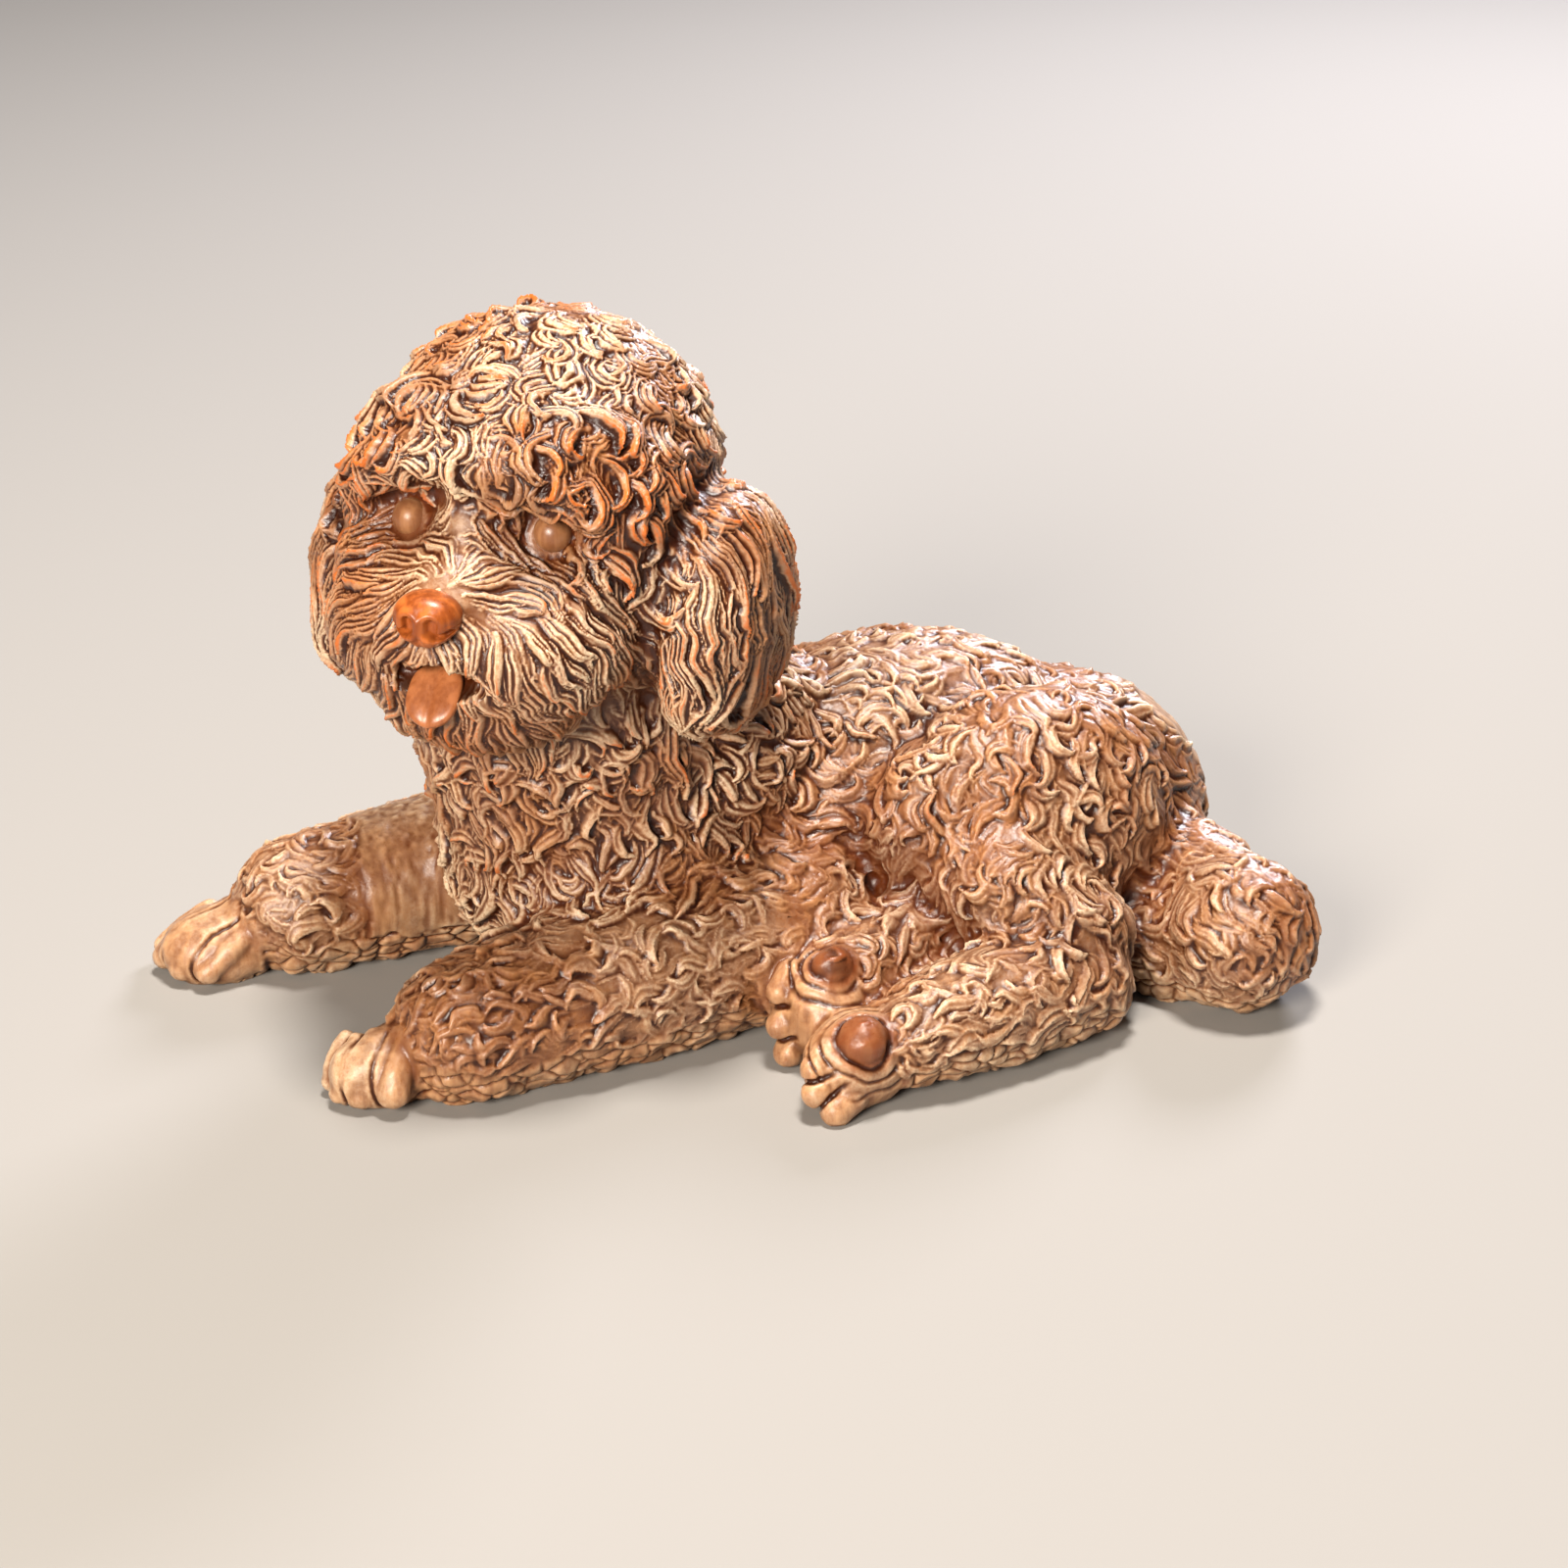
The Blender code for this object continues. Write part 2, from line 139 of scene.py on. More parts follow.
def lamp(name, place, size, watts, colour):
    bpy.ops.object.light_add(type="AREA", location=[x * MM for x in place])
    made = bpy.context.object
    made.name = name
    made.data.shape = "DISK"
    made.data.size = size * MM
    made.data.energy = watts
    made.data.color = sRGB(colour)[:3]
    aim = LAMP_AIM - made.location
    made.rotation_euler = aim.to_track_quat("-Z", "Y").to_euler()
    return made


make_floor()
key = lamp("key", (10.0, -20.0, 400.0), 80.0, 2.9, "#fff8f0")
fill = lamp("fill", (-260.0, -280.0, 190.0), 160.0, 3.1, "#fff4e6")
rim = lamp("rim", (220.0, 220.0, 200.0), 120.0, 1.6, "#f4f4ff")
world = bpy.data.worlds.new("studio")
world.use_nodes = True
world.node_tree.nodes["Background"].inputs["Color"].default_value = sRGB("#dfe3ea")
world.node_tree.nodes["Background"].inputs["Strength"].default_value = SKY_STRENGTH
bpy.context.scene.world = world
bpy.context.scene.view_settings.view_transform = "Standard"
bpy.context.scene.view_settings.look = "None"
print("lamps:", [light.name for light in (key, fill, rim)])

# %% [markdown]
# ## Working in millimetres
# The figure is about 66 mm long, so its masses are laid out in millimetres and turned into metres
# at the end. The head has a frame of its own, because it is turned to the left of the body: a
# point on the face is given as so far forward, so far to the left and so far up.

# %% Set the head's frame and helpers for selecting
HEAD_CENTRE = Vector((-15.2, -1.0, 32.2))
HEAD_LEAN, HEAD_TURN = math.radians(2.0), math.radians(54.0)
HEAD_MATRIX = Matrix.Translation(HEAD_CENTRE) @ Euler((HEAD_LEAN, 0.0, HEAD_TURN)).to_matrix().to_4x4()
LEAN_LEFT = 0.8
EAR_MIDDLE = 1.6


def in_head(forward, left, up):
    """A place in the head's own frame, turned with the head."""
    return HEAD_MATRIX @ Matrix.Translation((-forward, -left, up))


def turned(x, y, z, degrees):
    return Matrix.Translation((x, y, z)) @ Matrix.Rotation(math.radians(degrees), 4, "Z")


def deselect():
    for other in bpy.context.selected_objects:
        other.select_set(False)


def only(piece):
    """Makes one object the selected and active one."""
    deselect()
    piece.select_set(True)
    bpy.context.view_layer.objects.active = piece


def apply(piece, kind, **settings):
    """Adds a modifier with its settings and applies it."""
    only(piece)
    modifier = piece.modifiers.new(kind.lower(), kind)
    for name, value in settings.items():
        setattr(modifier, name, value)
    bpy.ops.object.modifier_apply(modifier=modifier.name)


NOSE_SOURCE = in_head(15.0, 0.0, -1.0).translation
WHORL = in_head(-3.0, 0.0, 14.0).translation
BEHIND = Vector((-60.0, 0.0, 60.0))
print("the nose is near, mm:", [round(x, 1) for x in in_head(14.5, 0.0, -2.0).translation])

# %% [markdown]
# ## The blank
# A carver first roughs out the block in round masses: skull, muzzle, chest, belly, thighs. We do
# the same with balls and with limbs whose thickness changes. Each mass also remembers what wool
# grows on it and where that wool flows from, which the carving needs later.

# %% Make helpers for balls and limbs
masses = []
shells = []


def ball(place, radii, wool="bare", source=BEHIND):
    """An ellipsoid mass at a point, or at a place that is turned."""
    if not isinstance(place, Matrix):
        place = Matrix.Translation(Vector(place))
    shape = place @ Matrix.Diagonal((*radii, 1.0))
    deselect()
    bpy.ops.mesh.primitive_uv_sphere_add(segments=40, ring_count=24, radius=1.0)
    bpy.context.object.data.transform(shape)
    shells.append(bpy.context.object)
    masses.append((shape.inverted(), min(radii), wool, source))


def limb(points, wool="bare", source=None):
    """A limb along a smooth curve. Each point is x, y, z and radius."""
    curve = bpy.data.curves.new("limb", "CURVE")
    curve.dimensions = "3D"
    curve.bevel_depth = 1.0
    curve.bevel_resolution = 5
    curve.use_fill_caps = True
    spline = curve.splines.new("NURBS")
    spline.points.add(len(points) - 1)
    for knot, (x, y, z, radius) in zip(spline.points, points):
        knot.co = (x, y, z, 1.0)
        knot.radius = radius
    spline.order_u = 3
    spline.use_endpoint_u = True
    spline.resolution_u = 8
    piece = bpy.data.objects.new("limb", curve)
    bpy.context.collection.objects.link(piece)
    only(piece)
    bpy.ops.object.convert(target="MESH")
    bpy.ops.object.mode_set(mode="EDIT")
    bpy.ops.mesh.select_all(action="SELECT")
    bpy.ops.mesh.remove_doubles(threshold=0.0001)
    bpy.ops.mesh.normals_make_consistent(inside=False)
    bpy.ops.object.mode_set(mode="OBJECT")
    shells.append(bpy.context.object)
    source = source or Vector(points[0][:3])
    for start, end in zip(points, points[1:]):
        for share in (0.0, 0.25, 0.5, 0.75, 1.0):
            x, y, z, radius = Vector(start).lerp(Vector(end), share)
            here = Matrix.Translation((x, y, z)) @ Matrix.Scale(radius, 4)
            masses.append((here.inverted(), radius, wool, source))
    for x, y, z, radius in (points[0], points[-1]):
        ball((x, y, z), (radius,) * 3, wool, source)


# %% Lay out the masses
# The roll of wool over the eyes: forward, left, up and radius.
BROW = [
    (5.0, -8.6, -1.0, 1.5),
    (7.3, -6.8, 2.4, 1.6),
    (8.9, -4.0, 4.3, 1.6),
    (9.4, 0.2, 4.4, 1.5),
    (9.0, 4.2, 4.3, 1.6),
    (7.6, 6.9, 2.2, 1.7),
    (5.6, 8.8, -1.8, 1.6),
]


def lay_out_head():
    ball(in_head(-0.5, 0.9, 1.1), (9.6, 9.9, 9.2), "crown", WHORL)
    ball(in_head(3.8, 0.6, 4.6), (6.2, 8.4, 4.0), "fringe", WHORL)
    limb([(*in_head(f, l, u).translation, radius) for f, l, u, radius in BROW], "fringe", WHORL)
    ball(in_head(8.5, 0.0, 0.2), (2.4, 2.2, 2.6), "beard", NOSE_SOURCE)
    ball(in_head(2.8, 0.0, -1.2), (7.2, 8.2, 5.6), "beard", NOSE_SOURCE)
    ball(in_head(8.2, 0.1, -5.6), (6.0, 8.8, 5.3), "beard", NOSE_SOURCE)
    ball(in_head(9.4, 0.0, -2.7), (4.6, 3.6, 3.0), "beard", NOSE_SOURCE)
    ball(in_head(-5.0, 0.0, -5.0), (7.5, 8.5, 8.5), "coat", WHORL)
    ball(in_head(8.4, 0.2, -9.2), (4.4, 6.0, 3.0), "beard", NOSE_SOURCE)
    for side in (-1.0, 1.0):
        ball(in_head(3.2, LEAN_LEFT + side * 7.0, 1.2), (4.6, 3.0, 4.4), "fringe", WHORL)
        ball(in_head(7.3, side * 5.7, -2.2), (2.7, 2.7, 2.0), "beard", NOSE_SOURCE)
        ball(in_head(2.6, 0.5 + side * 6.9, -4.8), (5.0, 3.6, 5.0), "beard", NOSE_SOURCE)
        ear_root = in_head(0.0, side * 9.0, 24.0).translation
        ball(in_head(0.8, EAR_MIDDLE + side * 10.2, -5.2), (6.8, 3.5, 7.2), "ear", ear_root)
        ball(in_head(1.6, EAR_MIDDLE + side * 10.0, -7.6), (5.8, 3.3, 4.4), "ear", ear_root)


def lay_out_body():
    over_chest = in_head(6.0, 2.0, 10.0).translation
    limb([(-11.8, 1.4, 13.0, 9.4), (-14.8, -0.4, 24.0, 8.8)], "coat", in_head(4.0, 2.0, 10.0).translation)
    ball((-10.5, 1.6, 9.5), (10.2, 10.0, 11.0), "coat", over_chest)
    ball((-5.6, 1.8, 13.2), (9.0, 8.0, 8.6), "coat")
    ball((-1.0, 3.2, 8.0), (10.0, 9.2, 9.6), "coat")
    ball((7.6, 2.2, 8.4), (14.0, 9.8, 10.5), "back")
    ball((17.2, 0.5, 6.8), (10.2, 9.4, 9.0), "back")


def lay_out_legs():
    limb([(-2.0, -5.4, 4.8, 5.9), (-13.0, -8.3, 4.1, 5.2), (-22.0, -9.8, 3.4, 4.4)], "leg")
    ball(turned(-26.7, -9.7, 1.6, 10.0), (3.7, 2.4, 2.5))
    ball((-7.0, 6.0, 8.0), (7.0, 6.2, 8.4), "coat", Vector((-6.0, 4.0, 22.0)))
    far = [(-6.0, 9.4, 5.0, 5.8), (-19.0, 8.9, 4.4, 5.0), (-28.0, 8.1, 3.6, 4.4)]
    limb(far, "leg")
    ball((-28.6, 8.0, 4.9), (3.6, 3.4, 3.0), "leg", Vector((-18.0, 8.0, 6.0)))
    ball(turned(-32.9, 8.3, 1.6, 8.0), (4.2, 3.0, 2.5))
    ball((13.0, -5.6, 9.4), (9.8, 6.4, 8.6), "thigh", Vector((14.0, 0.0, 26.0)))
    ball((7.6, -6.6, 10.6), (5.0, 4.2, 5.4), "thigh", Vector((14.0, 0.0, 26.0)))
    limb([(10.0, -10.2, 8.0, 4.6), (13.2, -12.8, 5.0, 4.2)], "thigh", Vector((14.0, -4.0, 22.0)))
    limb([(13.0, -14.4, 3.4, 3.9), (5.0, -17.0, 3.3, 4.0), (1.8, -17.9, 3.0, 2.9)], "leg")
    ball(turned(-1.6, -18.2, 2.3, 22.0), (3.5, 2.7, 2.9))
    limb([(6.0, -8.4, 4.6, 3.3), (0.2, -12.0, 4.2, 2.9)], "leg")
    ball(turned(-1.9, -13.2, 3.2, 22.0), (2.8, 2.6, 3.3))
    ball((14.0, 7.0, 5.0), (9.5, 5.6, 6.6), "back")


def lay_out_tail():
    ball((21.2, -11.4, 2.8), (3.9, 3.6, 4.0), "tail")
    limb([(21.0, -3.5, 6.0, 4.0), (23.6, -10.0, 5.6, 3.4)], "tail", Vector((14.0, 0.0, 10.0)))
    ball((23.7, -14.2, 4.4), (4.8, 4.8, 4.9), "tail", Vector((20.0, -6.0, 14.0)))


lay_out_head()
lay_out_body()
lay_out_legs()
lay_out_tail()
print("masses:", len(shells))

# %% [markdown]
# ## From masses to one blank
# The masses are joined, and a voxel remesh melts them into one skin, as filler would. A few
# rounds of smoothing take out the creases. Then a hollow is pressed round each eye and under the
# upper lip with a few lines of array maths, because no operator presses an ellipsoid in.


# %% Fuse and smooth the blank
def join(pieces, name):
    deselect()
    for piece in pieces:
        piece.select_set(True)
    bpy.context.view_layer.objects.active = pieces[0]
    bpy.ops.object.join()
    whole = bpy.context.object
    whole.name = name
    whole.data.name = name
    return whole


def corners(piece):
    """The mesh's points and their normals, as two arrays."""
    mesh = piece.data
    points = np.empty(len(mesh.vertices) * 3, np.float32)
    normals = np.empty(len(mesh.vertices) * 3, np.float32)
    mesh.vertices.foreach_get("co", points)
    mesh.vertex_normals.foreach_get("vector", normals)
    return points.reshape(-1, 3).astype(float), normals.reshape(-1, 3).astype(float)


def move_corners(piece, points):
    piece.data.vertices.foreach_set("co", points.astype(np.float32).ravel())
    piece.data.update()


def within(points, place, radii):
    """How far each point lies from the middle of an ellipsoid, where 1 is on its skin."""
    inverse = np.array((place @ Matrix.Diagonal((*radii, 1.0))).inverted())
    return np.linalg.norm(points @ inverse[:3, :3].T + inverse[:3, 3], axis=1)


EYE_FORWARD, EYE_APART, EYE_UP, EYE_RADIUS = 7.75, 4.1, 0.5, 1.07
EYE_LEFT, EYE_TILT = 0.3, 0.17
MOUTH_UP = -6.4
FACE_INWARD = np.array(HEAD_MATRIX.to_3x3() @ Vector((1.0, 0.0, 0.0)))


def eye_place(side, forward, lift=0.0):
    """A place at one eye, where the side is 1 for the left eye and -1 for the right one."""
    return in_head(forward, EYE_LEFT + side * EYE_APART, EYE_UP + side * EYE_TILT + lift)


def press(points, place, radii, depth):
    """Presses a rounded hollow into the face."""
    share = np.clip(1.0 - within(points, place, radii) ** 2, 0.0, 1.0)
    return points + depth * share[:, None] * FACE_INWARD


blank = join(shells, "blank")
apply(blank, "REMESH", mode="VOXEL", voxel_size=0.5)
apply(blank, "SMOOTH", factor=0.5, iterations=7)
points, _ = corners(blank)
for side in (-1.0, 1.0):
    points = press(points, eye_place(side, 8.8, 0.3), (4.0, 2.1, 1.8), 0.9)
points = press(points, in_head(13.0, -0.1, MOUTH_UP), (5.0, 3.2, 0.95), 2.4)
move_corners(blank, points)
print("blank:", len(blank.data.vertices), "points")

# %% [markdown]
# ## Toes and pads
# The paws are smooth, so their toes are cut before the wool: each toe is a small limb from its
# knuckle to its tip, and each hind paw shows one round pad. They are fused with the blank by a
# finer remesh, which is also the mesh that the wool is carved in.

# %% Add toes and pads, and refine the mesh
TOES = [
    [(-25.9, -10.8, 3.4, 0.80), (-26.6, -11.7, 2.3, 1.05), (-26.9, -12.1, 1.4, 0.90)],
    [(-27.2, -9.4, 3.4, 0.70), (-28.1, -10.5, 2.3, 0.88), (-28.5, -11.1, 1.0, 0.85)],
    [(-28.2, -8.9, 3.2, 0.50), (-29.3, -9.8, 2.1, 0.62), (-29.7, -10.3, 0.9, 0.60)],
    [(-28.6, -7.9, 2.9, 0.50), (-29.6, -8.5, 1.9, 0.60), (-29.9, -8.8, 0.8, 0.56)],
    [(-31.4, 6.4, 3.1, 0.75), (-33.4, 5.9, 2.3, 0.85), (-34.4, 5.7, 1.2, 0.75)],
    [(-31.6, 7.9, 3.5, 0.90), (-34.3, 7.4, 2.5, 1.05), (-35.7, 7.1, 1.1, 0.95)],
    [(-32.4, 9.5, 3.3, 0.80), (-35.3, 9.0, 2.3, 0.95), (-36.5, 8.8, 1.1, 0.85)],
    [(-33.4, 10.9, 2.6, 0.70), (-35.6, 10.4, 1.8, 0.80), (-36.3, 10.2, 1.0, 0.70)],
    [(-3.6, -12.5, 5.2, 0.95), (-4.4, -12.9, 4.4, 0.85)],
    [(-3.7, -13.0, 3.4, 1.00), (-4.5, -13.4, 2.6, 0.90)],
    [(-3.5, -13.4, 1.6, 1.00), (-4.2, -13.8, 0.9, 0.90)],
    [(-3.5, -19.0, 3.6, 1.00), (-4.5, -19.3, 2.9, 0.85)],
    [(-3.5, -19.4, 2.1, 1.00), (-4.6, -19.8, 1.6, 0.85)],
    [(-2.6, -20.1, 1.2, 1.05), (-3.6, -20.5, 0.7, 0.90)],
]
PADS = [(-1.7, -19.5, 4.3, 1.45), (-1.6, -13.8, 6.1, 1.15)]
# Lines round a pad, in its own radii, that part it and its toes.
PAD_LINES = (1.10, 1.62, 2.20)
FINE_VOXEL = 0.1

wool_masses = list(masses)
del masses[:]
shells = [blank]
toe_rows = []
for toe in TOES:
    before = len(masses)
    limb(toe)
    toe_rows.append((before, len(masses)))
for x, y, z, radius in PADS:
    ball((x, y, z), (radius,) * 3)
toe_masses = list(masses)
coarse_points, coarse_normals = corners(blank)
coarse_faces = [tuple(face.vertices) for face in blank.data.polygons]
figure = join(shells, "figure")
apply(figure, "REMESH", mode="VOXEL", voxel_size=FINE_VOXEL)
apply(figure, "SMOOTH", factor=0.5, iterations=8)
print("figure:", len(figure.data.vertices), "points to carve")

# %% [markdown]
# ## Where the wool grows and how it flows
# For every point of the skin we ask which mass it lies on, and so which wool grows there. Two
# places are exceptions, because the carver left them bare: the inner side of the farther foreleg
# and a sliver of the rump. The flow leads away from the mass's source: away from the nose on the
# muzzle, down from a whorl on the topknot, and towards the tail on the back. Blending the flows of
# the masses nearby keeps the hair from changing direction at a line.

# %% [markdown]
# ## The locks
# Every lock is a flat ribbon of two to four strands that follows the skin. An undercoat of low
# locks comes first, so that no skin stays bare between the others. On the topknot a lock turns in
# a C, as a curl does. On the body the curls are shorter and lower, and lie in all directions. The
# other locks wave from side to side, and their neighbours wave with them, because the beat comes
# from a smooth field. Real carvers cut hair this way: first the lock with a deep V, then its
# strands with a veiner.

# %% Describe the wool
# Spacing, length, half width, height, the width of one strand and the depth of the grooves between
# strands are in millimetres. The share of curls says how many locks turn in a C, through so many
# radians. Wave and beat bend the others.
WOOL_KEYS = ("spacing", "length", "half", "height", "strand", "groove", "curls", "turn", "wave", "beat")
WOOL_ROWS = {
    "crown": (1.08, 3.9, 0.74, 0.88, 0.41, 0.19, 1.0, 3.5, 0.0, 1.0),
    "fringe": (1.12, 4.3, 0.78, 1.1, 0.42, 0.21, 1.0, 3.0, 0.0, 1.0),
    "ear": (1.12, 7.0, 0.8, 0.95, 0.42, 0.23, 0.1, 2.5, 0.52, 6.2),
    "beard": (0.95, 4.0, 0.62, 0.58, 0.36, 0.18, 0.0, 2.0, 0.38, 4.0),
    "coat": (1.0, 3.4, 0.68, 0.8, 0.45, 0.13, 0.7, 2.7, 0.68, 4.4),
    "back": (0.95, 2.9, 0.6, 0.54, 0.45, 0.08, 0.85, 2.8, 0.8, 4.0),
    "thigh": (0.95, 3.1, 0.62, 0.58, 0.45, 0.09, 0.8, 2.7, 0.7, 4.0),
    "leg": (0.9, 2.7, 0.58, 0.48, 0.44, 0.08, 0.75, 2.6, 0.7, 3.6),
    "tail": (0.92, 2.8, 0.6, 0.5, 0.45, 0.08, 0.8, 2.7, 0.7, 3.6),
}
WOOL = {name: dict(zip(WOOL_KEYS, row)) for name, row in WOOL_ROWS.items()}
# How much the flow of a wool is drawn down by its weight.
DROOP = {"beard": 0.55, "ear": 0.3, "crown": 0.2, "fringe": 0.2}


# %% Make noise that is the same each time
# Noise mixes seeded numbers from the eight corners of a cube. Primes pick the number of a corner.
CORNERS = [np.array([corner >> 2 & 1, corner >> 1 & 1, corner & 1]) for corner in range(8)]
PRIMES = np.array([73856093, 19349663, 83492791])
TABLE_SIZE = 4096


def picked(cells):
    return (cells * PRIMES).sum(axis=1) & (TABLE_SIZE - 1)


def share_of(corner, part):
    """How much a corner of its cube counts at each point."""
    return np.where(corner, part, 1.0 - part).prod(axis=1)


def eased(share):
    return share * share * (3.0 - 2.0 * share)


def noise(points, size, seed):
    """Smooth seeded lumps of about the given size, between -1 and 1."""
    table = np.random.default_rng(seed).uniform(-1.0, 1.0, TABLE_SIZE)
    low = np.floor(points / size).astype(np.int64)
    part = eased(points / size - low)
    return sum(share_of(corner, part) * table[picked(low + corner)] for corner in CORNERS)


print("lumps of noise at the middle:", noise(np.zeros((1, 3)), 6.0, 21).round(2))


# %% Find wool and flow
# How soon, in millimetres, a mass loses its pull on the flow.
BLEND = 0.9
# A place beyond the figure, for a box that is open on one side.
FAR = 99.0


def unit(vectors):
    return vectors / np.maximum(np.linalg.norm(vectors, axis=-1, keepdims=True), 1e-9)


def depths_in(points, which):
    """How far each point lies outside the skin of every mass."""
    depths = np.empty((len(which), len(points)), np.float32)
    for row, (inverse, size, _, _) in enumerate(which):
        matrix = np.array(inverse)
        depths[row] = (np.linalg.norm(points @ matrix[:3, :3].T + matrix[:3, 3], axis=1) - 1.0) * size
    return depths


def inside_box(points, low, high, rough, size, seed):
    """How deep each point lies in a box whose sides wander."""
    depth = np.minimum((points - np.array(low)).min(axis=1), (np.array(high) - points).min(axis=1))
    return depth + rough * noise(points, size, seed)


wool_names = np.array([mass[2] for mass in wool_masses])
sources = np.array([list(mass[3]) for mass in wool_masses])
depths = depths_in(coarse_points, wool_masses)
kinds = wool_names[depths.argmin(axis=0)]
inner_side = inside_box(coarse_points, (-24.6, 3.0, -FAR), (-9.0, 10.5, 9.6), 0.5, 1.6, 12)
rear_end = inside_box(coarse_points, (22.8, -2.8, 4.0), (FAR, 3.2, 13.8), 1.1, 2.8, 13)
kinds[(inner_side > 0.0) | (rear_end > 0.0)] = "bare"
weights = np.exp(-np.maximum(depths - depths.min(axis=0), 0.0) / BLEND)
flows = np.zeros_like(coarse_points)
for row, name in enumerate(wool_names):
    if name != "bare":
        away = unit(coarse_points - sources[row]) + np.array((0.0, 0.0, -DROOP.get(str(name), 0.0)))
        flows += weights[row][:, None] * unit(away)
flows = unit(flows - coarse_normals * (flows * coarse_normals).sum(axis=1, keepdims=True))
beat_field = noise(coarse_points, 6.0, 21) + 0.5 * noise(coarse_points, 2.6, 22)
reach = np.linalg.norm(coarse_points - sources[depths.argmin(axis=0)], axis=1)
print({str(kind): int((kinds == kind).sum()) for kind in np.unique(kinds)})

# %% Trace the locks over the skin
STEPS = 12
LONGEST_CURL = 4.8
# How far, in radians, a curl strays from the flow: little where all locks curl, much on the body.
NEAT, LOOSE = 0.55, 0.95
# No lock starts lower than this over the ground.
FOOT_EDGE = 0.3
chance = np.random.default_rng(7)
skin_tree = KDTree(len(coarse_points))
for index, point in enumerate(coarse_points):
    skin_tree.insert(point, index)
skin_tree.balance()


def scatter():
    """Roots of locks, no two nearer than the spacing of their wool."""
    taken, roots = {}, []
    cell = max(wool["spacing"] for wool in WOOL.values())
    cells = np.floor(coarse_points / cell).astype(int)
    for index in chance.permutation(len(coarse_points)):
        kind = kinds[index]
        if kind == "bare" or coarse_points[index][2] < FOOT_EDGE:
            continue
        i, j, k = cells[index]
        spacing = WOOL[kind]["spacing"]
        here = coarse_points[index]
        around = [
            other
            for a in (i - 1, i, i + 1)
            for b in (j - 1, j, j + 1)
            for c in (k - 1, k, k + 1)
            for other in taken.get((a, b, c), ())
        ]
        if not around or ((np.array(around) - here) ** 2).sum(axis=1).min() > spacing**2:
            taken.setdefault((i, j, k), []).append(here)
            roots.append(int(index))
    return roots


def rotated(direction, axis, angle):
    """A direction turned about a normal that it is square to."""
    return direction * math.cos(angle) + np.cross(axis, direction) * math.sin(angle)


def trace(root, under):
    """The middle line of one lock, its normals, its wool, the side its curl turns to, its layer."""
    wool = WOOL[kinds[root]]
    side = chance.choice((-1.0, 1.0))
    curls = chance.random() < wool["curls"] * (0.5 if under else 1.0)
    turn = wool["turn"] * chance.uniform(0.7, 1.3) * side
    length = wool["length"] * chance.uniform(0.75, 1.25)
    stray = NEAT if wool["curls"] == 1.0 else LOOSE
    start = -0.45 * turn + chance.normal(0.0, stray) if curls else chance.normal(0.0, 0.14)
    strength = wool["wave"] * chance.uniform(0.75, 1.2)
    beat = chance.normal(0.0, 0.3)
    if curls:
        length = min(length, LONGEST_CURL)
    index = root
    here = coarse_points[root]
    heading = rotated(flows[root], coarse_normals[root], start)
    line, normals = [here], [coarse_normals[root]]
    for step in range(STEPS):
        normal = coarse_normals[index]
        if curls:
            quickening = 0.6 + 0.8 * step / STEPS
            heading = rotated(unit(heading - normal * (heading @ normal)), normal, turn * quickening / STEPS)
            way = heading
        else:
            phase = 2.0 * math.pi * (reach[index] / wool["beat"] + 0.9 * beat_field[index]) + beat
            way = rotated(flows[index], normal, start + strength * math.sin(phase))
        here = here + way * length / STEPS
        found, index, _ = skin_tree.find(here)
        normal = coarse_normals[index]
        here = here - normal * ((here - np.array(found)) @ normal)
        line.append(here)
        normals.append(normal)
    return np.array(line), np.array(normals), wool, side, under


locks = [trace(root, True) for root in scatter()]
locks += [trace(root, False) for root in scatter()]
print("locks:", len(locks))

# %% [markdown]
# ## Cutting the wool
# Now each point of the fine mesh looks for the locks that pass over it. A lock is low at its root
# and stands proud at its tip. A gouge cuts hollows and leaves sharp crests between them, so each
# strand is a hollow face that rises to a crest and drops behind it. Where locks overlap, the
# higher one wins, and that gives the crisp edges of real carving. Fewer than half of the locks
# stand proud, and the lower ones fill the ground between them.

# %% Find the points near a lock
CELL = 1.5
CELLS_A_SIDE = 1000


def cell_of(points):
    return np.floor(points / CELL).astype(np.int64) + CELLS_A_SIDE // 2


def key_of(i, j, k):
    return (i * CELLS_A_SIDE + j) * CELLS_A_SIDE + k


def sort_into_cells(points):
    """Groups the points by small cubes, so that a lock only looks at those near it."""
    keys = key_of(*cell_of(points).T)
    order = np.argsort(keys, kind="stable")
    found, starts = np.unique(keys[order], return_index=True)
    ends = np.append(starts[1:], len(keys))
    return order, {int(key): (a, b) for key, a, b in zip(found, starts, ends)}


def near_line(line, margin, order, cells):
    """The points in every cube that the line passes close to."""
    keys = set()
    for a, b in zip(cell_of(line - margin), cell_of(line + margin)):
        for i in range(a[0], b[0] + 1):
            for j in range(a[1], b[1] + 1):
                for k in range(a[2], b[2] + 1):
                    keys.add(key_of(i, j, k))
    spans = [cells[key] for key in keys if key in cells]
    return np.concatenate([order[a:b] for a, b in spans]) if spans else np.empty(0, int)


